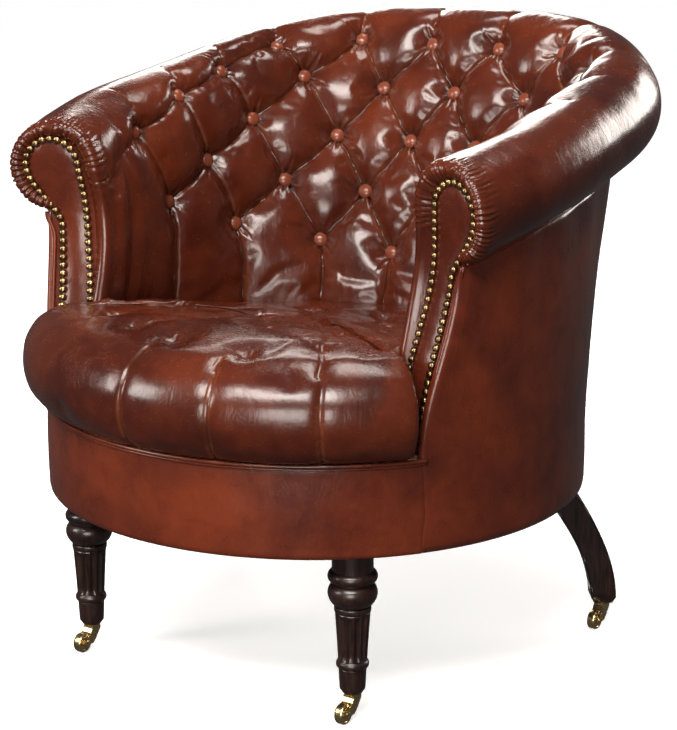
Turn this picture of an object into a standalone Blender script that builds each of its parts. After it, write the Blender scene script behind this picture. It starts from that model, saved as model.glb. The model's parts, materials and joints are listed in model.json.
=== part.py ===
"""Button-back tub armchair with a drum seat, turned front legs, sabre rear legs and castors.

Metres, +Z up, the chair faces -Y. The origin is on the floor under the middle of the
chair's overall plan. The right side (+X) is modelled and the left side mirrors it.
"""

import math

import bmesh
import bpy
from mathutils import Matrix, Vector

# The drum: the round base that the seat and the legs are built on.
DRUM_Y = -0.047  # the drum's axis, ahead of the middle because the back overhangs
DRUM_RADIUS = 0.349
DRUM_BOTTOM = 0.217
DRUM_TOP = 0.328
GAP = 0.0003  # left between pieces that touch
LEATHER = 0.0055  # outer leather with its lining

# The arm and back. Each row is one station, from the middle of the back to the arm's
# front: the roll's centre X, Y, Z, the section's plan angle from +Y, and how far the
# inner cover's foot, the padding's back and the outer cover's top lie off that centre.
ROLL_RADIUS = 0.058
STATIONS = (
    (0.000, 0.414, 0.733, 0.0, -0.189, -0.125, -0.014),
    (0.175, 0.391, 0.724, 24.1, -0.200, -0.132, -0.016),
    (0.292, 0.253, 0.696, 49.1, -0.141, -0.085, 0.000),
    (0.318, 0.091, 0.665, 76.0, -0.075, -0.034, 0.022),
    (0.322, -0.046, 0.642, 97.0, -0.060, -0.030, 0.026),
    (0.3006, -0.1608, 0.617, 110.5, -0.057, -0.032, 0.012),
)
ARM_END = len(STATIONS) - 1.0
BACK_SPLIT = 2.0  # the station where the back's pieces meet the arms' pieces
SPLIT_GAP = 0.0025  # half the gap there, in stations
SEAT_LINE = 0.40  # height where the inner cover meets the seat at the back
PAD_FOOT = 0.3355
PAD_CROWN = 0.010
PAD_LEVELS = 8

# The facing panel on each arm's front: heights and widths, across from the inner nails.
NECK_HEIGHT = 0.56
FACING_FOOT = 0.3355
FACING_THICKNESS = 0.009
FACING_LEAN = 0.0075  # the scroll head stands this far ahead of the neck
FACING_SWEEP = 0.0436  # the foot stands this far ahead of the neck
HEAD_ACROSS = 0.047
HEAD_HEIGHT = 0.619
HEAD_RADIUS = 0.046
NAIL_INSET = 0.009
NAIL_RADIUS = 0.0024

# Wooden frame
RAIL_OUTER = DRUM_RADIUS - LEATHER - 0.001
RAIL_INNER = 0.288
RAIL_BOTTOM = 0.2195
RAIL_TOP = 0.3320
POST_DEPTH = 0.024
TOP_RAIL_HEIGHT = 0.040

# Seat
CUSHION_FOOT = 0.3352
CUSHION_FRONT = 0.378
CUSHION_RIM = 0.452  # height of the top's front edge, where the crown starts
CUSHION_CROWN = 0.010
WELT_RADIUS = 0.0028
WELT_RING = 0.350
WELT_HEIGHT = 0.3315
SPRING_RADIUS = 0.042
SPRING_WIRE = 0.002
SPRING_TURNS = 4

# Legs and castors
LEG_FOOT = 0.034
LEG_HEAD = RAIL_BOTTOM - GAP
FRONT_LEG = Vector((0.205, -0.222))  # off the drum's axis
REAR_LEG_ANGLE = 53.7
REAR_LEG_HEAD = 0.300  # off the drum's axis
REAR_LEG_FLARE = 0.083
FLUTES = 14
WHEEL_RADIUS = 0.0127
WHEEL_HALF = 0.0055
TRAIL = 0.020
AXLE_RADIUS = 0.0024
BORE_RADIUS = 0.0028
CHEEK_INNER = 0.0062
CHEEK_OUTER = 0.0076
PLATE_RADIUS = 0.0105

SIDES = (("left", -1), ("right", 1))

COLOURS = {  # colour, roughness, metallic
    "leather": ((0.19, 0.035, 0.016), 0.32, 0.0),
    "leather_edge": ((0.14, 0.025, 0.012), 0.35, 0.0),
    "show_wood": ((0.030, 0.012, 0.009), 0.35, 0.0),
    "frame_wood": ((0.50, 0.34, 0.19), 0.6, 0.0),
    "cloth": ((0.10, 0.09, 0.08), 0.9, 0.0),
    "webbing": ((0.42, 0.33, 0.22), 0.9, 0.0),
    "nail_brass": ((0.33, 0.20, 0.08), 0.35, 1.0),
    "castor_brass": ((0.80, 0.58, 0.22), 0.22, 1.0),
    "steel": ((0.45, 0.45, 0.46), 0.4, 1.0),
}


def finish(name):
    """The material for a finish, made once."""
    found = bpy.data.materials.get(name)
    if found:
        return found
    colour, roughness, metallic = COLOURS[name]
    made = bpy.data.materials.new(name)
    made.use_nodes = True
    shader = made.node_tree.nodes["Principled BSDF"]
    shader.inputs["Base Color"].default_value = (*colour, 1)
    shader.inputs["Roughness"].default_value = roughness
    shader.inputs["Metallic"].default_value = metallic
    return made


def add(name, bm, material, smooth=True, at=(0, 0, 0), parent=None):
    """A closed bmesh as a named object. Its mesh is in the object's own space."""
    bmesh.ops.triangulate(bm, faces=[f for f in bm.faces if len(f.verts) > 4])
    bmesh.ops.recalc_face_normals(bm, faces=bm.faces)
    mesh = bpy.data.meshes.new(name)
    bm.to_mesh(mesh)
    bm.free()
    if smooth:
        mesh.shade_smooth()
        mesh.set_sharp_from_angle(angle=math.radians(40))
    mesh.materials.append(finish(material))
    made = bpy.data.objects.new(name, mesh)
    made.location = at
    made.parent = parent
    bpy.context.scene.collection.objects.link(made)
    return made


def cap(bm, row, rungs):
    """Closes an end. The first rungs points pair off with the last ones, as on a ladder."""
    for i in range(rungs - 1):
        bm.faces.new((row[i], row[i + 1], row[-2 - i], row[-1 - i]))
    rest = row[rungs - 1 : len(row) - rungs + 1] if rungs else row
    if len(rest) > 2:
        bm.faces.new(rest)


def loft(rings, ring_closed=False, rungs=0):
    """A closed skin over equal rings of points. An open row of rings is capped at both ends."""
    bm = bmesh.new()
    rows = [[bm.verts.new(p) for p in ring] for ring in rings]
    count = len(rows[0])
    steps = len(rows) if ring_closed else len(rows) - 1
    for i in range(steps):
        here, there = rows[i], rows[(i + 1) % len(rows)]
        for k in range(count):
            n = (k + 1) % count
            bm.faces.new((here[k], here[n], there[n], there[k]))
    if not ring_closed:
        cap(bm, rows[0], rungs)
        cap(bm, rows[-1], rungs)
    return bm


def turned(profile, segments, radius_at=None):
    """A solid turned about Z from (radius, height) pairs, from the foot up."""
    rings = []
    for radius, height in profile:
        ring = []
        for k in range(segments):
            a = math.tau * k / segments
            r = radius_at(radius, height, a) if radius_at else radius
            ring.append((r * math.cos(a), r * math.sin(a), height))
        rings.append(ring)
    return loft(rings)


def smoothstep(x):
    x = min(max(x, 0.0), 1.0)
    return x * x * (3 - 2 * x)


def spread(low, high, count):
    """count numbers from low to high."""
    return [low + (high - low) * i / (count - 1) for i in range(count)]


def catmull(a, b, c, d, t):
    square = 2 * a - 5 * b + 4 * c - d
    cube = 3 * b - a - 3 * c + d
    return 0.5 * (2 * b + (c - a) * t + square * t * t + cube * t**3)


def station_values(t):
    """The station table read at any t from 0 to ARM_END, as one smooth curve."""
    i = min(int(t), len(STATIONS) - 2)
    first, second = STATIONS[i], STATIONS[i + 1]
    if i == 0:
        mirrored = STATIONS[1]
        before = (-mirrored[0], mirrored[1], mirrored[2], -mirrored[3], *mirrored[4:])
    else:
        before = STATIONS[i - 1]
    if i + 2 < len(STATIONS):
        after = STATIONS[i + 2]
    else:
        after = [2 * q - p for p, q in zip(first, second)]
    return [catmull(a, b, c, d, t - i) for a, b, c, d in zip(before, first, second, after)]


class Section:
    """One upright section through the arm or back. t runs from -ARM_END to ARM_END."""

    def __init__(self, t):
        self.t = abs(t)
        self.side = -1 if t < 0 else 1
        x, y, self.roll, angle, self.foot, self.pad_back, self.cover_top = station_values(self.t)
        self.centre = Vector((x, y))
        a = math.radians(angle)
        self.out = Vector((math.sin(a), math.cos(a)))
        self.forward = Vector((math.cos(a), -math.sin(a)))

    def sweep(self, z):
        """How far the arm's front swings forward at this height."""
        near = smoothstep((self.t - 3.6) / (ARM_END - 3.6))
        foot = FACING_SWEEP * smoothstep((NECK_HEIGHT - z) / 0.22)
        neck = FACING_LEAN * (1 - smoothstep((z - NECK_HEIGHT) / 0.08))
        return near * (foot - neck)

    def at(self, w, z, ahead=0.0):
        """The point w outwards of the roll's centre, at height z."""
        p = self.centre + w * self.out + (self.sweep(z) + ahead) * self.forward
        return Vector((self.side * p.x, p.y + DRUM_Y, z))

    def drum(self, z, radius=DRUM_RADIUS):
        """Where this section crosses the drum."""
        p = self.centre + self.sweep(z) * self.forward
        b = p.dot(self.out)
        return -b + math.sqrt(b * b - p.length_squared + radius * radius)

    def cover(self, z):
        """The outer cover's outer face at height z."""
        top = self.roll - math.sqrt(ROLL_RADIUS**2 - self.cover_top**2) - 2 * GAP
        rise = min(max((z - 0.30) / (top - 0.30), 0.0), 1.0) ** 1.3
        start = self.drum(z)
        return start + (self.cover_top - start) * rise

    def under_roll(self, w):
        """Height of the roll's underside at w, less a gap."""
        return self.roll - math.sqrt(ROLL_RADIUS**2 - w * w) - 2 * GAP


def sections(low, high, count):
    return [Section(t) for t in spread(low, high, count)]


# The soft parts


def roll_piece(name, low, high, count):
    rings = []
    for s in sections(low, high, count):
        ring = []
        for k in range(20):
            a = math.tau * k / 20
            w, h = ROLL_RADIUS * math.cos(a), ROLL_RADIUS * math.sin(a)
            ring.append(s.at(w, s.roll + h))
        rings.append(ring)
    return add(name, loft(rings), "leather")


def pad_outline(s):
    """The inner padding's section: up its front, round under the roll, and down its back."""
    reach = ROLL_RADIUS + 0.0030
    lean = math.atan2(-ROLL_RADIUS - s.foot, s.roll - SEAT_LINE)
    touch = math.pi - lean
    turn_under = math.radians(222)
    under = Vector((reach * math.cos(turn_under), s.roll + reach * math.sin(turn_under)))
    top = Vector((reach * math.cos(touch) - 0.004, s.roll + reach * math.sin(touch)))
    levels = [PAD_FOOT, 0.5 * (PAD_FOOT + SEAT_LINE)]
    levels += spread(SEAT_LINE, under.y, PAD_LEVELS - 2)
    front = []
    for z in levels + [0.67 * under.y + 0.33 * top.y, 0.33 * under.y + 0.67 * top.y, top.y]:
        f = max((z - SEAT_LINE) / (top.y - SEAT_LINE), 0.0)
        front.append((s.foot + (top.x - s.foot) * f - PAD_CROWN * math.sin(math.pi * f), z))
    hollow = []
    for a in spread(touch, turn_under, 5)[:-1]:
        hollow.append((reach * math.cos(a), s.roll + reach * math.sin(a)))
    back = []
    for z in reversed(levels):
        f = max((z - SEAT_LINE) / (under.y - SEAT_LINE), 0.0)
        back.append((s.pad_back + (under.x - s.pad_back) * f, z))
    return front + hollow + back


def pad_piece(name, low, high, count):
    rings = [[s.at(w, z) for w, z in pad_outline(s)] for s in sections(low, high, count)]
    return add(name, loft(rings, rungs=PAD_LEVELS), "leather")


def cover_piece(name, low, high, count):
    """The outer cover: a thin wall from the drum's edge up to the roll."""
    rings = []
    for s in sections(low, high, count):
        top = s.under_roll(s.cover_top)
        heights = [DRUM_BOTTOM + 0.005, 0.29, 0.38, 0.47, 0.56]
        outer = [s.at(s.cover(DRUM_BOTTOM) - 0.003, DRUM_BOTTOM)]
        outer += [s.at(s.cover(z), z) for z in heights] + [s.at(s.cover_top, top)]
        inner_top = s.under_roll(s.cover_top - LEATHER)
        inner = [s.at(s.cover_top - LEATHER, inner_top)]
        inner += [s.at(s.cover(z) - LEATHER, z) for z in reversed(heights)]
        inner.append(s.at(s.cover(DRUM_BOTTOM) - LEATHER, DRUM_BOTTOM))
        rings.append(outer + inner)
    return add(name, loft(rings, rungs=len(rings[0]) // 2), "leather")


def front_angle():
    """Plan angle from +Y where the outer covers' front edges stop."""
    s = Section(ARM_END)
    p = s.at(s.drum(DRUM_BOTTOM), DRUM_BOTTOM)
    return math.atan2(p.x, p.y - DRUM_Y)


def round_drum(radius, angle, z):
    return Vector((radius * math.sin(angle), radius * math.cos(angle) + DRUM_Y, z))


def front_apron():
    start = front_angle() + 0.003
    rings = []
    for a in spread(start, math.tau - start, 30):
        profile = (
            (DRUM_RADIUS - 0.003, DRUM_BOTTOM),
            (DRUM_RADIUS, DRUM_BOTTOM + 0.005),
            (DRUM_RADIUS, DRUM_TOP),
            (DRUM_RADIUS - LEATHER, DRUM_TOP),
            (DRUM_RADIUS - LEATHER, DRUM_BOTTOM),
        )
        rings.append([round_drum(r, a, z) for r, z in profile])
    return add("front_apron", loft(rings), "leather")


def seat_welt():
    start = front_angle() + 0.003
    rings = []
    for a in spread(start, math.tau - start, 36):
        ring = []
        for k in range(8):
            b = math.tau * k / 8
            across, up = WELT_RADIUS * math.cos(b), WELT_RADIUS * math.sin(b)
            ring.append(round_drum(WELT_RING + across, a, WELT_HEIGHT + up))
        rings.append(ring)
    return add("seat_welt", loft(rings), "leather_edge")


def ear(w):
    """A point of the facing panel's front at the seat, w across from the roll's centre."""
    s = Section(ARM_END)
    return s.at(w, CUSHION_FOOT, FACING_THICKNESS + 2 * NAIL_RADIUS + 0.0016)


def cushion_outline(front):
    """The cushion's plan for a front radius, from the middle front round by +X."""
    corner = ear(0.004)
    inner_corner = ear(-0.062)
    limit = math.atan2(corner.x, corner.y - DRUM_Y)
    limit += 0.0012 / front
    right = [round_drum(front, a, 0) for a in spread(math.pi, limit, 14)]
    right.append(inner_corner)
    for t in spread(ARM_END, 0, 13):
        s = Section(t)
        bulge = 0.007 * smoothstep(t - BACK_SPLIT)
        right.append(s.at(s.foot - 0.0015 - bulge, SEAT_LINE - 0.03))
    left = [Vector((-p.x, p.y, 0)) for p in reversed(right[1:-1])]
    return right + left


def seat_cushion():
    """A crowned pad with a bulging round front; its top falls towards the back."""
    steps = (  # front radius, front height, back height
        (0.350, CUSHION_FOOT, CUSHION_FOOT),
        (0.368, 0.350, 0.345),
        (CUSHION_FRONT, 0.380, 0.360),
        (0.374, 0.412, 0.375),
        (0.355, 0.438, 0.388),
        (0.325, CUSHION_RIM, SEAT_LINE),
    )
    middle = Vector((0, DRUM_Y - 0.10, 0))
    rings = []
    for front, front_z, back_z in steps:
        ring = []
        for p in cushion_outline(front):
            back = smoothstep((p.y - DRUM_Y + 0.24) / 0.40)
            ring.append(Vector((p.x, p.y, front_z + (back_z - front_z) * back)))
        rings.append(ring)
    rim = rings[-1]
    for scale in (0.85, 0.6, 0.3):
        crown = CUSHION_CROWN * (1 - scale * scale)
        ring = []
        for p in rim:
            q = middle + scale * (p - middle)
            back = smoothstep((q.y - DRUM_Y + 0.24) / 0.40)
            q.z = CUSHION_RIM + (SEAT_LINE - CUSHION_RIM) * back + crown
            ring.append(q)
        rings.append(ring)
    return add("seat_cushion", loft(rings), "leather")


# The arm facings


def facing_span(z):
    """The facing's inner and outer edges at height z, across from the inner nails."""
    if z > HEAD_HEIGHT:
        half = math.sqrt(max(HEAD_RADIUS**2 - (z - HEAD_HEIGHT) ** 2, 0.0))
        return HEAD_ACROSS - half, HEAD_ACROSS + half
    waist = smoothstep((z - FACING_FOOT) / 0.075) * (1 - smoothstep((z - 0.44) / 0.12))
    inner = -0.0075 - 0.0085 * waist
    outer = 0.0475 - 0.0045 * waist
    if z > 0.545:
        rise = (z - 0.545) / (HEAD_HEIGHT - 0.545)
        inner += (HEAD_ACROSS - HEAD_RADIUS + 0.0075) * rise**1.5
        outer += (HEAD_ACROSS + HEAD_RADIUS - 0.0475) * math.sin(0.5 * math.pi * rise) ** 1.4
    return inner, outer


def facing_point(across, z, ahead):
    """across is measured from the inner nails, which stand 45 mm inside the roll's centre."""
    return Section(ARM_END).at(across - 0.045, z, ahead)


def facing_heights():
    head = [HEAD_HEIGHT + HEAD_RADIUS * math.sin(math.radians(a)) for a in (22, 42, 58, 71, 82)]
    return spread(FACING_FOOT, 0.545, 9) + spread(0.558, HEAD_HEIGHT, 6) + head


def mirrored(bm, side):
    """Turns a right-hand bmesh into the left-hand one when side is -1."""
    if side < 0:
        bmesh.ops.scale(bm, vec=(-1, 1, 1), verts=bm.verts)
    return bm


def arm_facing(name, side):
    rings = []
    for z in facing_heights():
        low, high = facing_span(z)
        corners = ((low, 0.0006), (high, 0.0006), (high, FACING_THICKNESS), (low, FACING_THICKNESS))
        rings.append([facing_point(across, z, ahead) for across, ahead in corners])
    return add(name, mirrored(loft(rings), side), "leather")


def nail_path():
    """The nail row: up the inner edge, round the scroll head and down the outer edge."""
    inner, outer = [], []
    for z in facing_heights():
        low, high = facing_span(z)
        if z <= HEAD_HEIGHT:
            inner.append((low + NAIL_INSET, z))
            outer.append((high - NAIL_INSET, z))
    inner[0] = (inner[0][0], inner[0][1] + 0.004)
    outer[0] = (outer[0][0], outer[0][1] + 0.004)
    reach = HEAD_RADIUS - NAIL_INSET
    head = []
    for a in spread(165, 15, 11):
        a = math.radians(a)
        head.append((HEAD_ACROSS + reach * math.cos(a), HEAD_HEIGHT + reach * math.sin(a)))
    return inner + head + outer[::-1]


def nail_row(name, side):
    """The closed row of nail heads as one bead along its line."""
    path = nail_path()
    ahead = FACING_THICKNESS + GAP + NAIL_RADIUS
    rings = []
    for i, (across, z) in enumerate(path):
        before, after = path[max(i - 1, 0)], path[min(i + 1, len(path) - 1)]
        run = Vector((after[0] - before[0], after[1] - before[1])).normalized()
        ring = []
        for k in range(6):
            a = math.tau * k / 6
            off = NAIL_RADIUS * math.cos(a)
            up = 0.9 * NAIL_RADIUS * math.sin(a)
            ring.append(facing_point(across - run.y * off, z + run.x * off, ahead + up))
        rings.append(ring)
    return add(name, mirrored(loft(rings), side), "nail_brass")


# The wooden frame


def curved_rail(name, start, end, count):
    corners = (
        (RAIL_INNER, RAIL_BOTTOM),
        (RAIL_OUTER, RAIL_BOTTOM),
        (RAIL_OUTER, RAIL_TOP),
        (RAIL_INNER, RAIL_TOP),
    )
    rings = [[round_drum(r, a, z) for r, z in corners] for a in spread(start, end, count)]
    return add(name, loft(rings), "frame_wood", smooth=False)


def seat_rails():
    rear = math.radians(REAR_LEG_ANGLE)
    front = math.atan2(FRONT_LEG.x, FRONT_LEG.y)
    gap = 0.0012
    curved_rail("back_seat_rail", -rear + gap, rear - gap, 17)
    curved_rail("right_seat_rail", rear + gap, front - gap, 15)
    curved_rail("left_seat_rail", -front + gap, -rear - gap, 15)
    curved_rail("front_seat_rail", front + gap, math.tau - front - gap, 15)
    for place, angle in (("front", front), ("rear", rear)):
        for side_name, side in SIDES:
            corner_block(f"{side_name}_{place}_corner_block", side * angle)


def corner_block(name, angle):
    """A block across a joint of two rails, on their inner side."""
    half = 0.032
    across = RAIL_INNER - 0.0008
    rings = []
    for z in (RAIL_BOTTOM + 0.008, RAIL_TOP - 0.008):
        outer = [angle + half / across * f for f in (-1, -0.5, 0, 0.5, 1)]
        inner = [angle + 0.6 * half / across * f for f in (1, -1)]
        ring = [round_drum(across, a, z) for a in outer]
        ring += [round_drum(across - 0.030, a, z) for a in inner]
        rings.append(ring)
    return add(name, loft(rings), "frame_wood", smooth=False)


def post(name, low, high):
    """An upright of the arm or back, between the padding and the outer cover."""
    top_at = TOP_RAIL_HEIGHT + 0.0605
    rings = []
    for f in spread(0, 1, 7):
        ring = []
        for t, inward in ((low, 0), (high, 0), (high, 1), (low, 1)):
            s = Section(t)
            z = RAIL_TOP + 0.0005 + f * (s.roll - top_at - RAIL_TOP - 0.0005)
            w = s.cover(z) - LEATHER - 0.003 - POST_DEPTH * inward
            ring.append(s.at(w, z))
        rings.append(ring)
    return add(name, loft(rings), "frame_wood", smooth=False)


def top_rail(name, low, high, count):
    rings = []
    for s in sections(low, high, count):
        outer = s.cover_top - LEATHER - 0.004
        inner = outer - POST_DEPTH
        high_z = s.roll - 0.060
        low_z = high_z - TOP_RAIL_HEIGHT
        shift = s.cover(low_z) - s.cover_top
        rings.append(
            [s.at(inner + shift, low_z), s.at(outer + shift, low_z), s.at(outer, high_z), s.at(inner, high_z)]
        )
    return add(name, loft(rings), "frame_wood", smooth=False)


def upper_frame():
    for side_name, side in SIDES:
        post(f"{side_name}_arm_post", side * 4.68, side * 4.90)
        post(f"{side_name}_side_post", side * 3.10, side * 3.29)
        post(f"{side_name}_back_post", side * 1.02, side * 1.20)
        top_rail(f"{side_name}_arm_rail", side * (BACK_SPLIT + SPLIT_GAP), side * 4.92, 11)
    top_rail("back_top_rail", -BACK_SPLIT + SPLIT_GAP, BACK_SPLIT - SPLIT_GAP, 15)


# Inside the seat


def disc(radius, low, high, segments=40):
    return turned(((radius, low), (radius, high)), segments)


def cut(target, cutters):
    """Cuts closed bmeshes, in the object's own space, out of it and keeps the result."""
    bpy.context.view_layer.update()
    for bm in cutters:
        bmesh.ops.recalc_face_normals(bm, faces=bm.faces)
        mesh = bpy.data.meshes.new("cutter")
        bm.to_mesh(mesh)
        bm.free()
        tool = bpy.data.objects.new("cutter", mesh)
        tool.matrix_world = target.matrix_world
        tool.hide_render = True
        tool.display_type = "WIRE"
        bpy.context.scene.collection.objects.link(tool)
        step = target.modifiers.new("cut", "BOOLEAN")
        step.operation = "DIFFERENCE"
        step.solver = "EXACT"
        step.object = tool
    bpy.context.view_layer.update()
    graph = bpy.context.evaluated_depsgraph_get()
    result = bpy.data.meshes.new_from_object(target.evaluated_get(graph))
    tools = [step.object for step in target.modifiers]
    target.modifiers.clear()
    target.data = result
    for tool in tools:
        bpy.data.objects.remove(tool)


def block(centre, size):
    bm = bmesh.new()
    bmesh.ops.create_cube(bm, size=1)
    bmesh.ops.scale(bm, vec=size, verts=bm.verts)
    bmesh.ops.translate(bm, vec=centre, verts=bm.verts)
    return bm


def webbing():
    """Jute straps laced both ways, as one sheet with square openings between them."""
    bm = disc(RAIL_INNER - 0.001, 0.2235, 0.2255)
    sheet = add("seat_webbing", bm, "webbing", at=(0, DRUM_Y, 0))
    pitch, hole = 0.085, 0.034
    holes = []
    for ix in range(-3, 4):
        for iy in range(-3, 4):
            x, y = ix * pitch, iy * pitch
            if math.hypot(abs(x) + hole / 2, abs(y) + hole / 2) < RAIL_INNER - 0.065:
                holes.append(block((x, y, 0.2245), (hole, hole, 0.02)))
    cut(sheet, holes)


def spring(name, x, y):
    """A coil from the webbing up to the spring cover."""
    low, high = 0.2265, 0.3310
    steps = 9
    wire = SPRING_WIRE
    rings = []
    for i in range(SPRING_TURNS * steps + 1):
        turn = i / steps
        a = math.tau * turn
        f = turn / SPRING_TURNS
        pinch = 1 - 0.22 * math.sin(math.pi * f)
        centre = Vector((SPRING_RADIUS * pinch * math.cos(a), SPRING_RADIUS * pinch * math.sin(a), 0))
        centre.z = low + wire + (high - low - 2 * wire) * f
        away = centre.copy()
        away.z = 0
        away.normalize()
        up = Vector((0, 0, 1))
        rings.append([centre + wire * way for way in (away, up, -away, -up)])
    return add(name, loft(rings), "steel", at=(x, y + DRUM_Y, 0))


def inside_seat():
    webbing()
    for name, x, y in (
        ("left_front_spring", -0.105, -0.105),
        ("right_front_spring", 0.105, -0.105),
        ("left_rear_spring", -0.105, 0.105),
        ("right_rear_spring", 0.105, 0.105),
    ):
        spring(name, x, y)
    add("spring_cover", disc(RAIL_INNER + 0.010, 0.3325, 0.3345), "cloth", at=(0, DRUM_Y, 0))
    cover = add("dust_cover", disc(0.318, 0.2172, 0.2190, 48), "cloth", at=(0, DRUM_Y, 0))
    corners = []
    for _, side in SIDES:
        bm = turned(((0.031, 0.21), (0.031, 0.23)), 20)
        bmesh.ops.translate(bm, vec=(side * FRONT_LEG.x, FRONT_LEG.y, 0), verts=bm.verts)
        corners.append(bm)
        a = side * math.radians(REAR_LEG_ANGLE)
        bm = block((0, REAR_LEG_HEAD + 0.01, 0.22), (0.044, 0.100, 0.02))
        bmesh.ops.rotate(bm, cent=(0, 0, 0), matrix=Matrix.Rotation(-a, 3, "Z"), verts=bm.verts)
        corners.append(bm)
    cut(cover, corners)


# Legs


def front_leg(name, side):
    """A turned leg: ring, bulb, fluted taper, bead and plain foot."""
    fluted = (0.078, 0.136)
    profile = [(0.0115, LEG_FOOT), (0.0155, 0.0405), (0.0170, 0.0655)]
    profile += [(0.0170, 0.0662), (0.0195, 0.0685), (0.0200, 0.0714), (0.0195, 0.0742), (0.0178, 0.0765)]
    profile += [(0.0178 + 0.0037 * f, 0.0775 + 0.059 * f) for f in (0, 0.05, 0.5, 0.95, 1)]
    profile += [(0.0222, 0.1385), (0.0222, 0.1445)]
    for a in (-52, -18, 18, 60):
        a = math.radians(a)
        profile.append((0.0190 + 0.0115 * math.cos(a), 0.1605 + 0.0145 * math.sin(a)))
    for a in (-60, 0, 62):
        a = math.radians(a)
        profile.append((0.0225 + 0.0077 * math.cos(a), 0.1815 + 0.0085 * math.sin(a)))
    profile += [(0.0250, 0.1915), (0.0250, LEG_HEAD)]

    def radius_at(radius, height, angle):
        inside = fluted[0] + 0.0005 < height < fluted[1] - 0.0005
        hollow = 0.5 - 0.5 * math.cos(FLUTES * angle)
        return radius - (0.0022 * hollow if inside else 0.0)

    place = (side * FRONT_LEG.x, FRONT_LEG.y + DRUM_Y, 0)
    return add(name, turned(profile, FLUTES * 2, radius_at), "show_wood", at=place)


def rear_leg(name, side):
    """A square sabre leg that curves out and back, with its foot chamfered to the castor."""
    rings = []
    for f in spread(0, 1, 12):
        z = LEG_HEAD + (LEG_FOOT + 0.010 - LEG_HEAD) * f
        rings.append(rear_leg_ring(z, 0.0185 - 0.0015 * f))
    rings.append(rear_leg_ring(LEG_FOOT, 0.0125))
    bm = loft(rings)
    turn = Matrix.Rotation(-side * math.radians(REAR_LEG_ANGLE), 3, "Z")
    bmesh.ops.rotate(bm, cent=(0, 0, 0), matrix=turn, verts=bm.verts)
    return add(name, bm, "show_wood", at=(0, DRUM_Y, 0))


def rear_leg_ring(z, half):
    """A square with cut corners, square to the leg's curve except at its ends."""
    fall = (LEG_HEAD - z) / (LEG_HEAD - LEG_FOOT)
    away = REAR_LEG_HEAD + REAR_LEG_FLARE * math.sin(0.5 * math.pi * fall)
    slope = REAR_LEG_FLARE * 0.5 * math.pi * math.cos(0.5 * math.pi * fall) / (LEG_HEAD - LEG_FOOT)
    wider = half * math.sqrt(1 + slope * slope)
    cut_off = 0.003
    corners = []
    for sx, sy in ((1, 1), (-1, 1), (-1, -1), (1, -1)):
        first = (sx * half, away + sy * (wider - cut_off), z)
        second = (sx * (half - cut_off), away + sy * wider, z)
        corners += [first, second] if sx * sy > 0 else [second, first]
    return corners


# Castors: each swivels about its stem, and its wheel turns about the axle.


def castor_plate():
    profile = ((0.0030, 0.0250), (0.0030, 0.0320), (PLATE_RADIUS - 0.0008, 0.0320))
    profile += ((PLATE_RADIUS, 0.0328), (PLATE_RADIUS, LEG_FOOT - GAP))
    return turned(profile, 16)


def horn_outline():
    """The horn seen from the side, as (y, z) points round it; the axle is at -TRAIL."""
    points = [(0.0078, 0.0317), (0.0080, 0.0262)]
    for f in (0.25, 0.5, 0.75):
        points.append((0.0080 - 0.0185 * f, 0.0262 - 0.0180 * math.sin(0.5 * math.pi * f) ** 1.2))
    for a in range(-100, -281, -36):
        a = math.radians(a)
        points.append((-TRAIL + 0.0050 * math.cos(a), WHEEL_RADIUS + 0.0050 * math.sin(a)))
    points += [(-0.0160, 0.0200), (-0.0115, 0.0245), (-0.0088, 0.0290), (-0.0080, 0.0317)]
    return points


def along_x(bm, centre):
    """Lays a bmesh turned about Z along X, at centre."""
    bmesh.ops.rotate(bm, cent=(0, 0, 0), matrix=Matrix.Rotation(math.pi / 2, 3, "Y"), verts=bm.verts)
    bmesh.ops.translate(bm, vec=centre, verts=bm.verts)
    return bm


def castor(prefix, x, y):
    swivel = bpy.data.objects.new(f"{prefix}_swivel_axis", None)
    swivel.location = (x, y, 0)
    bpy.context.scene.collection.objects.link(swivel)
    add(f"{prefix}_castor_plate", castor_plate(), "castor_brass", at=(x, y, 0))

    outline = horn_outline()
    rings = [[(half, py, pz) for py, pz in outline] for half in (-CHEEK_OUTER, CHEEK_OUTER)]
    horn = add(f"{prefix}_castor_horn", loft(rings), "castor_brass", parent=swivel)
    axle = (0, -TRAIL, WHEEL_RADIUS)
    well = disc(WHEEL_RADIUS + 0.0010, -CHEEK_INNER, CHEEK_INNER, 24)
    axle_hole = disc(BORE_RADIUS, -0.02, 0.02, 12)
    stem_hole = disc(0.0034, 0.0, 0.05, 16)
    cut(horn, [along_x(well, axle), along_x(axle_hole, axle), stem_hole])

    half = WHEEL_HALF
    rings = []
    for radius, across in (
        (BORE_RADIUS, -half),
        (0.0114, -half),
        (WHEEL_RADIUS, -half + 0.0022),
        (WHEEL_RADIUS, half - 0.0022),
        (0.0114, half),
        (BORE_RADIUS, half),
    ):
        ring = []
        for k in range(24):
            a = math.tau * k / 24
            ring.append((across, radius * math.cos(a), radius * math.sin(a)))
        rings.append(ring)
    bm = loft(rings, ring_closed=True)
    add(f"{prefix}_castor_wheel", bm, "castor_brass", at=axle, parent=swivel)

    head = 0.0040
    edge = CHEEK_OUTER + GAP
    pin = ((head * 0.7, -edge - 0.0013), (head, -edge - 0.0006), (head, -edge), (AXLE_RADIUS, -edge))
    pin += tuple((radius, -z) for radius, z in reversed(pin))
    add(f"{prefix}_axle_pin", along_x(turned(pin, 10), (0, 0, 0)), "castor_brass", at=axle, parent=swivel)


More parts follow.
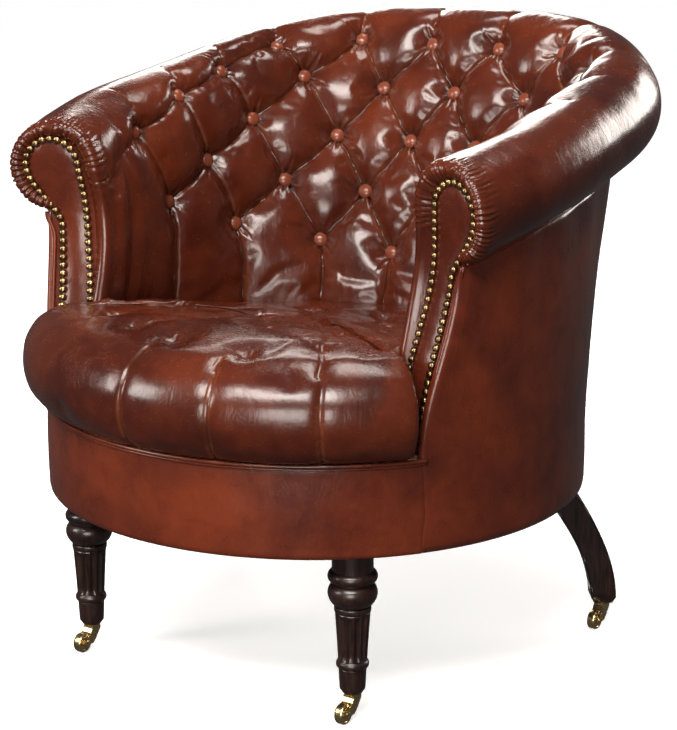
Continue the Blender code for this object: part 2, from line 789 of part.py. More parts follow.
def legs_and_castors():
    rear = math.radians(REAR_LEG_ANGLE)
    foot = REAR_LEG_HEAD + REAR_LEG_FLARE
    for side_name, side in SIDES:
        front_leg(f"{side_name}_front_leg", side)
        rear_leg(f"{side_name}_rear_leg", side)
        castor(f"{side_name}_front", side * FRONT_LEG.x, FRONT_LEG.y + DRUM_Y)
        castor(f"{side_name}_rear", side * foot * math.sin(rear), foot * math.cos(rear) + DRUM_Y)


def upholstery():
    split, end = BACK_SPLIT, ARM_END - 0.006
    for side_name, side in SIDES:
        low, high = side * (split + SPLIT_GAP), side * end
        roll_piece(f"{side_name}_arm_roll", low, high, 11)
        pad_piece(f"{side_name}_arm_pad", low, high, 12)
        cover_piece(f"{side_name}_outer_panel", low, high, 15)
        arm_facing(f"{side_name}_arm_facing", side)
        nail_row(f"{side_name}_nail_row", side)
    low, high = -split + SPLIT_GAP, split - SPLIT_GAP
    roll_piece("back_roll", low, high, 17)
    pad_piece("inner_back_pad", low, high, 15)
    cover_piece("outer_back_panel", low, high, 17)
    front_apron()
    seat_welt()
    seat_cushion()


def main():
    for found in list(bpy.data.objects):
        bpy.data.objects.remove(found)
    seat_rails()
    upper_frame()
    inside_seat()
    upholstery()
    legs_and_castors()


main()
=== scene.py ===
import json
import math

import bmesh
import bpy
import numpy as np
from mathutils import Matrix, Vector, noise


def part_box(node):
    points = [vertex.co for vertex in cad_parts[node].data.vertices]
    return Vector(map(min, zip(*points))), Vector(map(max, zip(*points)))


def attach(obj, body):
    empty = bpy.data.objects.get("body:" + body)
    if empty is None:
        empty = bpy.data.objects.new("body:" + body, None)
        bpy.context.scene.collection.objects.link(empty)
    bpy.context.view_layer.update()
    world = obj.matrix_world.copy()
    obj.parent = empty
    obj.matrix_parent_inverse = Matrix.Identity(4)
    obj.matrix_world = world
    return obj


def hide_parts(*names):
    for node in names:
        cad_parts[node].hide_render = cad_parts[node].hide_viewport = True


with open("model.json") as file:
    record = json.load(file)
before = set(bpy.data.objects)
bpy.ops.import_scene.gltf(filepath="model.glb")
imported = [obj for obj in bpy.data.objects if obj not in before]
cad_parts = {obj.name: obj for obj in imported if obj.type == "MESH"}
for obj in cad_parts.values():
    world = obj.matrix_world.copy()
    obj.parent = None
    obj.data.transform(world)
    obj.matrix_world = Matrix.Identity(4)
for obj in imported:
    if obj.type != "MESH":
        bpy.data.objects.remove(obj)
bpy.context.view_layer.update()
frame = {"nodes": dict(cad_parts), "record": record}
nodes = frame["nodes"]
chairBody = "chair"

# The chair's plan, in metres. The seat drum stands on the axis x = 0, y = drumY.
plan = {
    "drumY": -0.047,
    "drumRadius": 0.349,
    "drumBottom": 0.217,
    "seatLine": 0.40,
    "rollRadius": 0.058,
    "armEnd": 5.0,
    "crown": 0.010,
}

# Stations from the middle of the back to an arm's front: the roll's centre, the section's
# plan angle, and how far the inner cover's foot, the pad's back and the outer cover lie off.
stations = np.array((
    (0.000, 0.414, 0.733, 0.0, -0.189, -0.125, -0.014),
    (0.175, 0.391, 0.724, 24.1, -0.200, -0.132, -0.016),
    (0.292, 0.253, 0.696, 49.1, -0.141, -0.085, 0.000),
    (0.318, 0.091, 0.665, 76.0, -0.075, -0.034, 0.022),
    (0.322, -0.046, 0.642, 97.0, -0.060, -0.030, 0.026),
    (0.3006, -0.1608, 0.617, 110.5, -0.057, -0.032, 0.012),
))


# Small tools


def smooth(x):
    x = np.clip(x, 0.0, 1.0)
    return x * x * (3 - 2 * x)


def readStations(t):
    # the station table at any t, as one smooth curve
    t = np.clip(np.abs(np.asarray(t, float)), 0, plan["armEnd"])
    flip = np.array((-1, 1, 1, -1, 1, 1, 1))
    table = np.vstack([stations[1] * flip, stations, 2 * stations[-1] - stations[-2]])
    i = np.minimum(t.astype(int), len(stations) - 2)
    f = (t - i)[..., None]
    a, b, c, d = table[i], table[i + 1], table[i + 2], table[i + 3]
    rest = (2 * a - 5 * b + 4 * c - d) * f * f + (3 * b - a - 3 * c + d) * f**3
    return np.moveaxis(0.5 * (2 * b + (c - a) * f + rest), -1, 0)


def sweepAt(t, z):
    # how far the arm's front swings forward at this height
    near = smooth((np.abs(t) - 3.6) / (plan["armEnd"] - 3.6))
    return near * (0.0436 * smooth((0.56 - z) / 0.22) - 0.0075 * (1 - smooth((z - 0.56) / 0.08)))


def sectionPoint(t, w, z, ahead=0.0):
    # the point w outwards of the roll's centre in section t, at height z
    t, w, z, ahead = np.broadcast_arrays(*(np.asarray(q, float) for q in (t, w, z, ahead)))
    x, y, _, angle, _, _, _ = readStations(t)
    a = np.radians(angle)
    go = sweepAt(t, z) + ahead
    px = x + w * np.sin(a) + go * np.cos(a)
    py = y + w * np.cos(a) - go * np.sin(a)
    return np.stack([np.where(t < 0, -px, px), py + plan["drumY"], z], -1)


def drumPoint(radius, angle, z):
    # angle is from +Y, positive towards +X
    radius, angle, z = np.broadcast_arrays(*(np.asarray(q, float) for q in (radius, angle, z)))
    return np.stack([radius * np.sin(angle), radius * np.cos(angle) + plan["drumY"], z], -1)


def wrinkle(p, scale, octaves=3, seed=0.0):
    # soft noise from about -1 to 1 at each of the points
    shift = Vector((seed, 1.7 * seed, -seed))
    rows = np.asarray(p, float).reshape(-1, 3) * scale
    found = [noise.fractal(Vector(q) + shift, 1.0, 2.0, octaves) for q in rows]
    return np.array(found).reshape(np.asarray(p).shape[:-1])


def runLength(points):
    # how far along a line each of its points lies
    return np.concatenate([[0], np.cumsum(np.linalg.norm(np.diff(points, axis=0), axis=1))])


def gridMesh(across, up):
    # a bmesh grid, with its points in rows of across + 1
    bm = bmesh.new()
    bmesh.ops.create_grid(bm, x_segments=across, y_segments=up, size=1)
    return bm


def setPoints(bm, points):
    for v, p in zip(bm.verts, np.asarray(points).reshape(-1, 3)):
        v.co = p


def closeHoles(bm, split=False):
    bmesh.ops.holes_fill(bm, edges=[e for e in bm.edges if e.is_boundary], sides=0)
    if split:
        bmesh.ops.triangulate(bm, faces=[f for f in bm.faces if len(f.verts) > 4])
    bmesh.ops.recalc_face_normals(bm, faces=bm.faces)


def toMesh(name, bm):
    mesh = bpy.data.meshes.new(name)
    bm.to_mesh(mesh)
    bm.free()
    return mesh


def placed(name, data):
    # an object made from its data and linked to the scene
    made = bpy.data.objects.new(name, data)
    bpy.context.scene.collection.objects.link(made)
    return made


def toPiece(name, bm, material, body=chairBody, stands=(), angle=None):
    mesh = toMesh(name, bm)
    piece = placed(name, mesh)
    mesh.materials.append(material)
    mesh.shade_smooth()
    if angle:
        mesh.set_sharp_from_angle(angle=math.radians(angle))
    if stands:
        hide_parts(*stands)
    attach(piece, body)
    return piece


def addModifier(piece, kind, **settings):
    made = piece.modifiers.new(kind.title(), kind)
    for key, value in settings.items():
        setattr(made, key, value)
    return made


def subdivided(piece, levels):
    return addModifier(piece, "SUBSURF", levels=levels, render_levels=levels)


def readPoints(mesh):
    co = np.zeros(len(mesh.vertices) * 3, np.float32)
    mesh.vertices.foreach_get("co", co)
    return co.reshape(-1, 3).astype(float)


def writePoints(mesh, points):
    mesh.vertices.foreach_set("co", np.asarray(points, np.float32).ravel())
    mesh.update()


def readNormals(mesh):
    co = np.zeros(len(mesh.vertices) * 3, np.float32)
    mesh.vertex_normals.foreach_get("vector", co)
    return co.reshape(-1, 3).astype(float)


def addAttribute(mesh, name, values):
    found = mesh.attributes.get(name) or mesh.attributes.new(name, "FLOAT", "POINT")
    found.data.foreach_set("value", np.asarray(values, np.float32).ravel())


def addFlat(mesh, points):
    # keeps where each point lay before the leather was shaped
    mesh.attributes.new("flat", "FLOAT_VECTOR", "POINT").data.foreach_set(
        "vector", np.asarray(points, np.float32).ravel())


def takeAttribute(mesh, name, field="value", width=1):
    # reads an attribute of the points and drops it
    found = np.zeros(len(mesh.vertices) * width, np.float32)
    mesh.attributes[name].data.foreach_get(field, found)
    mesh.attributes.remove(mesh.attributes[name])
    return found.astype(float)


def takeFlat(mesh):
    return takeAttribute(mesh, "flat", "vector", 3).reshape(-1, 3)


def refined(piece):
    # makes one round of subdivision real, so that fine creases can be pressed into it
    subdivided(piece, 1)
    old, name = piece.data, piece.data.name
    mesh = bpy.data.meshes.new_from_object(piece.evaluated_get(bpy.context.evaluated_depsgraph_get()))
    piece.modifiers.clear()
    piece.data = mesh
    bpy.data.meshes.remove(old)
    mesh.name = name
    mesh.shade_smooth()
    return mesh


def creaseRays(points, centre, across, upward, rays, seed):
    # short creases that run out from a centre: 1 in a crease, a little below 0 on its lips
    found = np.zeros(len(points))
    near = np.flatnonzero(np.sum((points - centre) ** 2, axis=1) < 0.055**2)
    way = points[near] - centre
    u, v = way @ across, way @ upward
    for j, (degrees, reach) in enumerate(rays):
        a = math.radians(degrees + 9 * math.sin(3.7 * seed + 2.1 * j))
        length = reach * (0.85 + 0.35 * math.sin(1.9 * seed + 4.3 * j))
        run = v * math.cos(a) + u * math.sin(a)
        off = np.abs(u * math.cos(a) - v * math.sin(a) + 0.0010 * np.sin(run * 150 + seed + j))
        line = np.exp(-((off / 0.0012) ** 1.5)) - 0.35 * np.exp(-(((off - 0.0031) / 0.0015) ** 2))
        ends = smooth((run - 0.006) / 0.004) * (1 - smooth((run - 0.35 * length) / (0.65 * length)))
        found[near] += line * ends
    return found


def toLine(points, line):
    # each point's way to the nearest point of a polyline
    best = np.full(points.shape, 9.0)
    for a, b in zip(line[:-1], line[1:]):
        run = b - a
        f = np.clip(((points - a) @ run) / max(run @ run, 1e-12), 0, 1)
        way = a + f[:, None] * run - points
        closer = np.sum(way * way, axis=1) < np.sum(best * best, axis=1)
        best[closer] = way[closer]
    return best


def tube(line, radius, sides=10):
    # a round cord along a line of points, made by a bevelled curve
    curve = bpy.data.curves.new("cord", "CURVE")
    curve.dimensions = "3D"
    curve.bevel_depth = radius
    curve.bevel_resolution = max(sides // 2 - 1, 1)
    curve.use_fill_caps = True
    spline = curve.splines.new("POLY")
    spline.points.add(len(line) - 1)
    for point, place in zip(spline.points, line):
        point.co = (*place, 1)
    holder = placed("cord", curve)
    bpy.context.view_layer.update()
    mesh = bpy.data.meshes.new_from_object(holder.evaluated_get(bpy.context.evaluated_depsgraph_get()))
    bpy.data.objects.remove(holder)
    bm = bmesh.new()
    bm.from_mesh(mesh)
    bpy.data.meshes.remove(mesh)
    bmesh.ops.remove_doubles(bm, verts=bm.verts, dist=1e-6)
    bmesh.ops.recalc_face_normals(bm, faces=bm.faces)
    return bm


def joinInto(target, source):
    # adds the source bmesh to the target one
    mesh = toMesh("part", source)
    target.from_mesh(mesh)
    bpy.data.meshes.remove(mesh)


# Materials. A Wire wraps a socket, so that shader maths reads as plain sums.


class Wire:
    def __init__(self, finish, socket):
        self.finish = finish
        self.socket = socket

    def __add__(self, other):
        return self.finish.maths("ADD", self, other)

    def __radd__(self, other):
        return self.finish.maths("ADD", other, self)

    def __sub__(self, other):
        return self.finish.maths("SUBTRACT", self, other)

    def __rsub__(self, other):
        return self.finish.maths("SUBTRACT", other, self)

    def __mul__(self, other):
        return self.finish.maths("MULTIPLY", self, other)

    def __rmul__(self, other):
        return self.finish.maths("MULTIPLY", other, self)


class Finish:
    def __init__(self, name, **fixed):
        self.material = bpy.data.materials.new(name)
        self.material.use_nodes = True
        self.tree = self.material.node_tree
        self.shader = self.tree.nodes["Principled BSDF"]
        for key, value in fixed.items():
            self.shader.inputs[key.replace("_", " ")].default_value = value

    def node(self, kind, settings=None, inputs=None, output=0):
        made = self.tree.nodes.new(kind)
        for key, value in (settings or {}).items():
            if key == "stops":
                self.fillRamp(made.color_ramp, value)
            else:
                setattr(made, key, value)
        for key, value in (inputs or {}).items():
            self.feed(made.inputs[key], value)
        return Wire(self, made.outputs[output])

    def fillRamp(self, ramp, stops):
        while len(ramp.elements) < len(stops):
            ramp.elements.new(0.5)
        for element, (place, colour) in zip(ramp.elements, stops):
            element.position = place
            element.color = colour if hasattr(colour, "__len__") else (colour, colour, colour, 1)

    def feed(self, socket, value):
        if isinstance(value, Wire):
            self.tree.links.new(value.socket, socket)
        else:
            socket.default_value = value

    def maths(self, operation, a, b):
        return self.node("ShaderNodeMath", {"operation": operation}, {0: a, 1: b})

    def place(self, scale=(1, 1, 1)):
        at = self.node("ShaderNodeTexCoord", output=3)
        return self.node("ShaderNodeMapping", None, {"Vector": at, "Scale": scale})

    def cloud(self, at, scale, detail=3.0, rough=0.5, bend=0.0):
        return self.node("ShaderNodeTexNoise", None, {
            "Vector": at, "Scale": scale, "Detail": detail, "Roughness": rough, "Distortion": bend})

    def cells(self, at, scale, feature="F1"):
        return self.node("ShaderNodeTexVoronoi", {"feature": feature}, {"Vector": at, "Scale": scale})

    def ramp(self, value, *stops):
        return self.node("ShaderNodeValToRGB", {"stops": stops}, {"Fac": value})

    def blendColour(self, amount, a, b):
        made = self.tree.nodes.new("ShaderNodeMix")
        made.data_type = "RGBA"
        made.clamp_factor = True
        for index, value in ((0, amount), (6, a), (7, b)):
            self.feed(made.inputs[index], value)
        return Wire(self, made.outputs[2])

    def bump(self, height, distance, strength=1.0, under=None):
        inputs = {"Height": height, "Distance": distance, "Strength": strength}
        if under:
            inputs["Normal"] = under
        return self.node("ShaderNodeBump", None, inputs)

    def into(self, **values):
        for key, value in values.items():
            self.feed(self.shader.inputs[key.replace("_", " ")], value)
        return self.material


def rgb(r, g, b):
    return (r, g, b, 1.0)


leatherLook = {
    # the darkest colour here is painted shade for the hollows, and the palest serves both rubbed wear and a
    # painted highlight on the folds' lips
    "paintedShade": rgb(0.012, 0.0026, 0.0020),
    "body": rgb(0.078, 0.0125, 0.0058),
    "warm": rgb(0.190, 0.0340, 0.0110),
    "wornAndHighlight": rgb(0.330, 0.0920, 0.0320),
    "button": rgb(0.23, 0.060, 0.030),
    "purple": rgb(0.032, 0.0066, 0.0056),
    "grainSize": 900.0,
    "grainDepth": 0.00012,
}


def leather(name, depth=True, warmth=0.5, cracks=0.0, rough=0.27, tone=0.0, strength=1.0):
    # antiqued leather: cloudy colour, painted shade in the hollows, and lighter on the folds' lips, partly rubbed
    # wear and partly a painted highlight
    look = {key: rgb(*(strength * c for c in value[:3])) if isinstance(value, tuple) else value
            for key, value in leatherLook.items()}
    f = Finish(name, Specular_IOR_Level=0.45, Coat_Roughness=0.16, Coat_IOR=1.45)
    at = f.place()
    clouds = f.cloud(at, 5.0, 4.0, 0.55, 0.4)
    mottle = f.cloud(at, 34.0, 5.0, 0.62, 0.3)
    patch = f.ramp(clouds + 0.35 * (mottle - 0.5), (0.34, 0.0), (0.66, 1.0))
    colour = f.blendColour(patch, look["body"], look["warm"])
    colour = f.blendColour(0.35 + 0.65 * warmth, look["body"], colour)
    shade = f.ramp(f.cloud(at, 9.0, 3.0, 0.5, 0.6), (0.47, 0.0), (0.70, 1.0))
    colour = f.blendColour(0.55 * shade, colour, look["purple"])
    if tone:
        colour = f.blendColour(0.55 * tone, colour, look["button"])
    scuff = f.ramp(f.cloud(f.place((1.0, 1.0, 1.6)), 120.0, 6.0, 0.7, 1.2), (0.56, 0.0), (0.74, 1.0))
    if depth:
        # painted shade: where crest is low, in the pleats, seams and button dimples, the colour goes to the
        # darkest colour
        crest = f.node("ShaderNodeAttribute", {"attribute_name": "crest"}, output=2)
        rub = f.node("ShaderNodeAttribute", {"attribute_name": "rub"}, output=2)
        low = f.ramp(crest, (0.0, 1.0), (0.45, 0.0))
        colour = f.blendColour(0.85 * low, colour, look["paintedShade"])
        # the folds' lips are made lighter here: partly rubbed wear, partly a painted highlight
        colour = f.blendColour(rub * (0.35 + 0.65 * mottle), colour, look["wornAndHighlight"])
        wornAndHighlight = scuff * (0.10 + 0.9 * rub)
    else:
        wornAndHighlight = scuff * 0.10
    colour = f.blendColour(wornAndHighlight, colour, look["wornAndHighlight"])
    grain = f.cells(at, look["grainSize"])
    pores = f.cloud(at, 1700.0, 2.0, 0.5)
    height = 0.7 * grain + 0.3 * pores
    normal = f.bump(height, look["grainDepth"], 0.5)
    folds = f.cloud(f.place((1.0, 1.0, 0.36)), 80.0, 4.0, 0.6, 0.8)
    normal = f.bump(folds, 0.0015, 0.40, normal)
    roughness = rough + 0.16 * (mottle - 0.4) + 0.10 * scuff
    if cracks:
        bent = f.node("ShaderNodeVectorMath", {"operation": "ADD"}, {
            0: at, 1: f.node("ShaderNodeVectorMath", {"operation": "SCALE"}, {
                0: f.node("ShaderNodeTexNoise", None, {"Vector": at, "Scale": 40.0, "Detail": 4.0}, 1),
                "Scale": 0.02})})
        web = f.cells(bent, 150.0, "DISTANCE_TO_EDGE")
        line = f.ramp(web, (0.0, 1.0), (0.04, 0.0)) * f.ramp(mottle, (0.42, 0.0), (0.62, 1.0))
        wear = f.node("ShaderNodeAttribute", {"attribute_name": "wear"}, output=2)
        line = line * wear * cracks
        colour = f.blendColour(line * 0.4, colour, look["wornAndHighlight"])
        normal = f.bump(1.0 - line, 0.0004, 0.5, normal)
    return f.into(Base_Color=colour, Roughness=roughness, Normal=normal, Coat_Weight=0.30 - 0.2 * scuff)


def showWood():
    f = Finish("showWood", Specular_IOR_Level=0.5, Coat_Roughness=0.22)
    grain = f.cloud(f.place((9.0, 9.0, 0.9)), 26.0, 6.0, 0.62, 0.7)
    streak = f.ramp(grain, (0.35, 0.0), (0.68, 1.0))
    colour = f.blendColour(streak, rgb(0.0075, 0.0030, 0.0028), rgb(0.030, 0.0115, 0.0080))
    rubbed = f.ramp(f.cloud(f.place(), 60.0, 4.0), (0.55, 0.0), (0.72, 1.0))
    colour = f.blendColour(0.35 * rubbed, colour, rgb(0.062, 0.024, 0.015))
    normal = f.bump(grain, 0.0004, 0.45)
    return f.into(Base_Color=colour, Roughness=0.30 + 0.12 * streak, Normal=normal, Coat_Weight=0.5)


def frameWood():
    f = Finish("frameWood")
    rings = f.node("ShaderNodeTexWave", {"wave_type": "BANDS", "bands_direction": "Z"}, {
        "Vector": f.place(), "Scale": 38.0, "Distortion": 7.0, "Detail": 3.0, "Detail Scale": 1.4})
    fine = f.cloud(f.place((4.0, 4.0, 30.0)), 30.0, 4.0)
    tone = f.ramp(0.6 * rings + 0.4 * fine, (0.2, 0.0), (0.8, 1.0))
    colour = f.blendColour(tone, rgb(0.36, 0.22, 0.11), rgb(0.62, 0.44, 0.26))
    return f.into(Base_Color=colour, Roughness=0.55 + 0.2 * fine, Normal=f.bump(fine, 0.0004, 0.4))


def brass(name, bright, dark, rough, tarnish):
    f = Finish(name, Metallic=1.0)
    at = f.place()
    spots = f.ramp(f.cloud(at, 220.0, 5.0, 0.65), (0.42, 0.0), (0.70, 1.0))
    film = f.ramp(f.cloud(at, 45.0, 3.0), (0.35, 0.0), (0.75, 1.0))
    colour = f.blendColour(tarnish * (0.5 * spots + 0.6 * film), bright, dark)
    lines = f.cloud(f.place((1.0, 1.0, 9.0)), 600.0, 3.0)
    return f.into(Base_Color=colour, Roughness=rough + 0.14 * spots * tarnish + 0.05 * lines,
                  Normal=f.bump(lines, 0.00006, 0.25))


def weave(name, light, dark, pitch, rough):
    # a plain weave, read in plan
    f = Finish(name)
    at = f.place()
    threads = []
    for direction in ("X", "Y"):
        threads.append(f.node("ShaderNodeTexWave", {"wave_type": "BANDS", "bands_direction": direction}, {
            "Vector": at, "Scale": 0.314 / pitch, "Distortion": 0.6, "Detail": 1.0}))
    cross = f.maths("MAXIMUM", threads[0], threads[1])
    fuzz = f.cloud(at, 300.0, 3.0)
    colour = f.blendColour(0.6 * cross + 0.4 * fuzz, dark, light)
    return f.into(Base_Color=colour, Roughness=rough + 0.06 * fuzz, Normal=f.bump(cross, 0.0005, 0.6))


def steel():
    f = Finish("springSteel", Metallic=1.0)
    at = f.place()
    rust = f.ramp(f.cloud(at, 160.0, 4.0), (0.5, 0.0), (0.72, 1.0))
    colour = f.blendColour(0.6 * rust, rgb(0.42, 0.40, 0.38), rgb(0.25, 0.12, 0.07))
    return f.into(Base_Color=colour, Roughness=0.34 + 0.25 * rust, Normal=f.bump(rust, 0.0001, 0.3))


print("materials")
# one leather in several copies: strength below 1 darkens the tufted, seat and facing copies against the outer
# cover and apron, a painted shade
tuftedLeather = leather("tuftedLeather", warmth=0.6, rough=0.21, strength=0.64)
seatLeather = leather("seatLeather", warmth=0.6, cracks=1.0, rough=0.23, strength=0.60)
coverLeather = leather("coverLeather", depth=False, warmth=0.6, rough=0.27, strength=0.95)
facingLeather = leather("facingLeather", depth=False, warmth=0.5, rough=0.25, strength=0.68)
pipingLeather = leather("pipingLeather", depth=False, warmth=0.9, rough=0.28)
buttonLeather = leather("buttonLeather", depth=False, warmth=1.0, rough=0.22, tone=1.0)
legWood = showWood()
plainWood = frameWood()
nailBrass = brass("nailBrass", rgb(0.40, 0.27, 0.13), rgb(0.06, 0.035, 0.02), 0.24, 1.0)
castorBrass = brass("castorBrass", rgb(0.90, 0.68, 0.34), rgb(0.42, 0.28, 0.12), 0.22, 0.5)
liningCloth = weave("liningCloth", rgb(0.035, 0.033, 0.032), rgb(0.010, 0.010, 0.010), 0.0012, 0.85)
jute = weave("juteWebbing", rgb(0.52, 0.41, 0.26), rgb(0.20, 0.14, 0.08), 0.004, 0.85)
springSteel = steel()


# The tufted inner cover with the roll, from arm to arm. A column of its grid is a step in m,
# counted in half button spaces from the middle of the back, and a row is a step in rho:
# 0 at the seat, 1 to 5 at the rows of buttons and 8 at the roll's outer edge.

tufting = {
    "steps": 14,  # grid steps in one half space
    "rowSteps": 16,
    "lastM": 10.5,
    "below": 0.7,
    "crest": 0.0105,  # a diamond's crown off the plain surface
    "pleat": 0.0065,  # how far the pleats lie below it
    "button": 0.0085,  # how much deeper the buttons pull
    "reach": 0.041,  # from a pleat to where the crown is full
    "bow": 0.10,
    "sharp": 0.5,
    "drawn": 0.0019,  # how far the leather is drawn up to its folds
    "hiddenTurn": 138,  # degrees round the roll to where the cover leaves it underneath
    "rounding": 6,  # steps round an arm's front edge
    "tableT": np.array((
        (0, 0, 0, 0, 0),
        (0.42, 0.405, 0.39, 0.365, 0.34),
        (0.90, 0.86, 0.815, 0.77, 0.69),
        (1.40, 1.31, 1.22, 1.125, 1.03),
        (1.90, 1.76, 1.645, 1.53, 1.40),
        (2.44, 2.255, 2.07, 1.92, 1.77),
        (2.93, 2.75, 2.57, 2.39, 2.39),
        (3.41, 3.235, 3.06, 3.06, 3.06),
        (3.95, 3.87, 3.87, 3.87, 3.87),
    )),
    "tableV": np.array((
        (0, 0.074, 0.158, 0.233, 0.307, 0.373),
        (0, 0.075, 0.160, 0.236, 0.309, 0.375),
        (0, 0.080, 0.162, 0.238, 0.312, 0.379),
        (0, 0.088, 0.166, 0.240, 0.316, 0.382),
        (0, 0.098, 0.172, 0.247, 0.321, 0.376),
        (0, 0.110, 0.184, 0.256, 0.322, 0.368),
        (0, 0.129, 0.200, 0.267, 0.324, 0.375),
        (0, 0.151, 0.222, 0.294, 0.342, 0.390),
        (0, 0.172, 0.250, 0.300, 0.350, 0.400),
    )),
}


def tableRead(table, m, row):
    # bilinear, with m along the table's rows
    i = np.clip(m.astype(int), 0, len(table) - 2)
    j = np.clip(row.astype(int), 0, table.shape[1] - 2)
    f, g = np.clip(m - i, 0, 1), np.clip(row - j, 0, 1)
    low = table[i, j] * (1 - f) + table[i + 1, j] * f
    high = table[i, j + 1] * (1 - f) + table[i + 1, j + 1] * f
    return low * (1 - g) + high * g


def coverPoint(m, rho):
    # the plain surface of the inner cover and roll, and the t and height it is read at
    m, rho = np.broadcast_arrays(np.asarray(m, float), np.asarray(rho, float))
    across = np.abs(m)
    # the folds between the buttons bow a little
    p, q = (across + rho) / 2, (across - rho) / 2
    bow = np.cos(math.pi * p) ** 2 * np.sin(math.pi * q) ** 2 * smooth(across) * smooth(rho - 1)
    bow = bow + 0.6 * np.sin(math.pi * np.clip(rho, 0, 1)) * smooth(across)
    across = np.maximum(across - tufting["bow"] * bow * (1 - smooth((across - 7) / 1.5)), 0)
    inLattice = np.minimum(across, 8.0)
    t = tableRead(tufting["tableT"], inLattice, np.clip(rho, 1, 5) - 1)
    end = plan["armEnd"] - 0.03
    t = t + (end - t) * np.clip((across - 8) / (tufting["lastM"] - 8), 0, 1)
    _, _, roll, _, foot, _, coverTop = readStations(t)
    r = plan["rollRadius"]
    lean = np.arctan2(-r - foot, roll - plan["seatLine"])
    touch = math.pi - lean
    topW = r * np.cos(touch)
    topZ = roll + r * np.sin(touch)
    straight = np.hypot(topW - foot, topZ - plan["seatLine"])
    vEnd = straight + r * (touch + np.arccos(np.clip(coverTop / r, -1, 1)))
    v = tableRead(tufting["tableV"], inLattice, np.clip(rho, 0, 5))
    v = v + (vEnd - v) * np.clip((rho - 5) / 3, 0, 1)
    v = np.where(rho < 0, rho * 0.055 / tufting["below"], v)
    f = np.clip(v / straight, 0, 1)
    w = foot + (topW - foot) * f - plan["crown"] * np.sin(math.pi * f)
    z = plan["seatLine"] + (topZ - plan["seatLine"]) * f
    angle = touch - (v - straight) / r
    w = np.where(v > straight, r * np.cos(angle), w)
    z = np.where(v > straight, roll + r * np.sin(angle), z)
    z = np.where(v < 0, plan["seatLine"] + v, z)
    return np.where(m < 0, t, -t), w, z, v > straight


def buttonPlaces():
    rows = {1: (1, 3, 5, 7), 2: (0, 2, 4, 6, 8), 3: (1, 3, 5, 7), 4: (0, 2, 4, 6), 5: (1, 3, 5)}
    found = set()
    for row, columns in rows.items():
        for m in columns:
            found.update({(m, row), (-m, row)})
    return sorted(found)


def pleatLines():
    # every fold as a list of (m, rho) points, with how strongly it pulls
    places = set(buttonPlaces())
    lines = []
    for m, row in sorted(places):
        for side in (-1, 1):
            if (m + side, row + 1) in places:
                lines.append((((m, row), (m + side, row + 1)), 1.0))
    for m in (1, 3, 5, 7):
        for side in (-1, 1):
            lines.append((((side * m, 1), (side * m, -tufting["below"])), 0.9))
    for m, row in ((1, 5), (3, 5), (5, 5), (6, 4), (7, 3), (8, 2)):
        for side in (-1, 1):
            lines.append((((side * m, row), (side * m, 8)), 0.8))
    for side in (-1, 1):
        lines.append((((side * 8, 2), (side * 10.6, 1.35)), 0.45))
    return lines


def linePoints(line, count=9):
    (m0, r0), (m1, r1) = line
    f = np.linspace(0, 1, count)
    t, w, z, _ = coverPoint(m0 + (m1 - m0) * f, r0 + (r1 - r0) * f)
    return sectionPoint(t, w, z)


def foldField(points, lines, reach, sharp=0.62):
    # 0 on the folds rising to 1 on the crowns, the nearest fold's distance and the way to it
    field = np.ones(len(points))
    nearest = np.full(len(points), 9.0)
    ways = np.zeros(points.shape)
    for line, pull in lines:
        low, high = line.min(0) - 0.07, line.max(0) + 0.07
        near = np.flatnonzero(np.all((points > low) & (points < high), axis=1))
        way = toLine(points[near], line)
        d = np.linalg.norm(way, axis=1)
        f = 1 - np.clip(d / reach, 0, 1)
        field[near] *= 1 - pull * (1 - (1 - f**2.2) ** sharp)
        d = d / max(pull, 0.3)
        closer = d < nearest[near]
        nearest[near[closer]] = d[closer]
        ways[near[closer]] = way[closer]
    return field, nearest, ways


def drawnIn(points, nearest, ways, amount, keep):
    # brings the leather beside a fold up to it, so that its lips nearly meet
    pull = amount * np.exp(-((nearest / 0.0055) ** 2)) * keep
    length = np.linalg.norm(ways, axis=1)
    share = np.where(length > 1e-6, np.minimum(pull, 0.62 * length) / np.maximum(length, 1e-9), 0)
    return points + ways * share[:, None]


def clothRelaxed(piece, held, pressure, growth, cap, frames=11):
    # lets the leather swell and crinkle between the points that hold it
    start = readPoints(piece.data)
    group = piece.vertex_groups.new(name="held")
    for level in np.unique(np.round(held, 1)):
        if level > 0:
            group.add([int(i) for i in np.flatnonzero(np.round(held, 1) == level)], float(level), "REPLACE")
    cloth = addModifier(piece, "CLOTH")
    cloth.settings.vertex_group_mass = "held"
    for key, value in clothLook.items():
        setattr(cloth.settings, key, value)
    cloth.settings.uniform_pressure_force = pressure
    cloth.settings.shrink_min = -growth
    cloth.settings.shrink_max = -growth
    cloth.settings.effector_weights.gravity = 0
    cloth.collision_settings.use_collision = False
    cloth.collision_settings.use_self_collision = False
    scene = bpy.context.scene
    cloth.point_cache.frame_start, cloth.point_cache.frame_end = 1, frames
    for step in range(1, frames + 1):
        scene.frame_set(step)
    done = bpy.data.meshes.new_from_object(piece.evaluated_get(bpy.context.evaluated_depsgraph_get()))
    moved = readPoints(done) - start
    bpy.data.meshes.remove(done)
    piece.modifiers.remove(cloth)
    piece.vertex_groups.clear()
    scene.frame_set(1)
    moved = np.nan_to_num(moved)
    length = np.linalg.norm(moved, axis=1, keepdims=True)
    moved *= np.minimum(1, cap / np.maximum(length, 1e-9))
    writePoints(piece.data, start + moved * (1 - held)[:, None])


clothLook = {
    "pin_stiffness": 2.0,
    "quality": 6,
    "mass": 0.25,
    "tension_stiffness": 22,
    "compression_stiffness": 22,
    "shear_stiffness": 8,
    "bending_stiffness": 2.5,
    "air_damping": 4,
    "use_pressure": True,
}


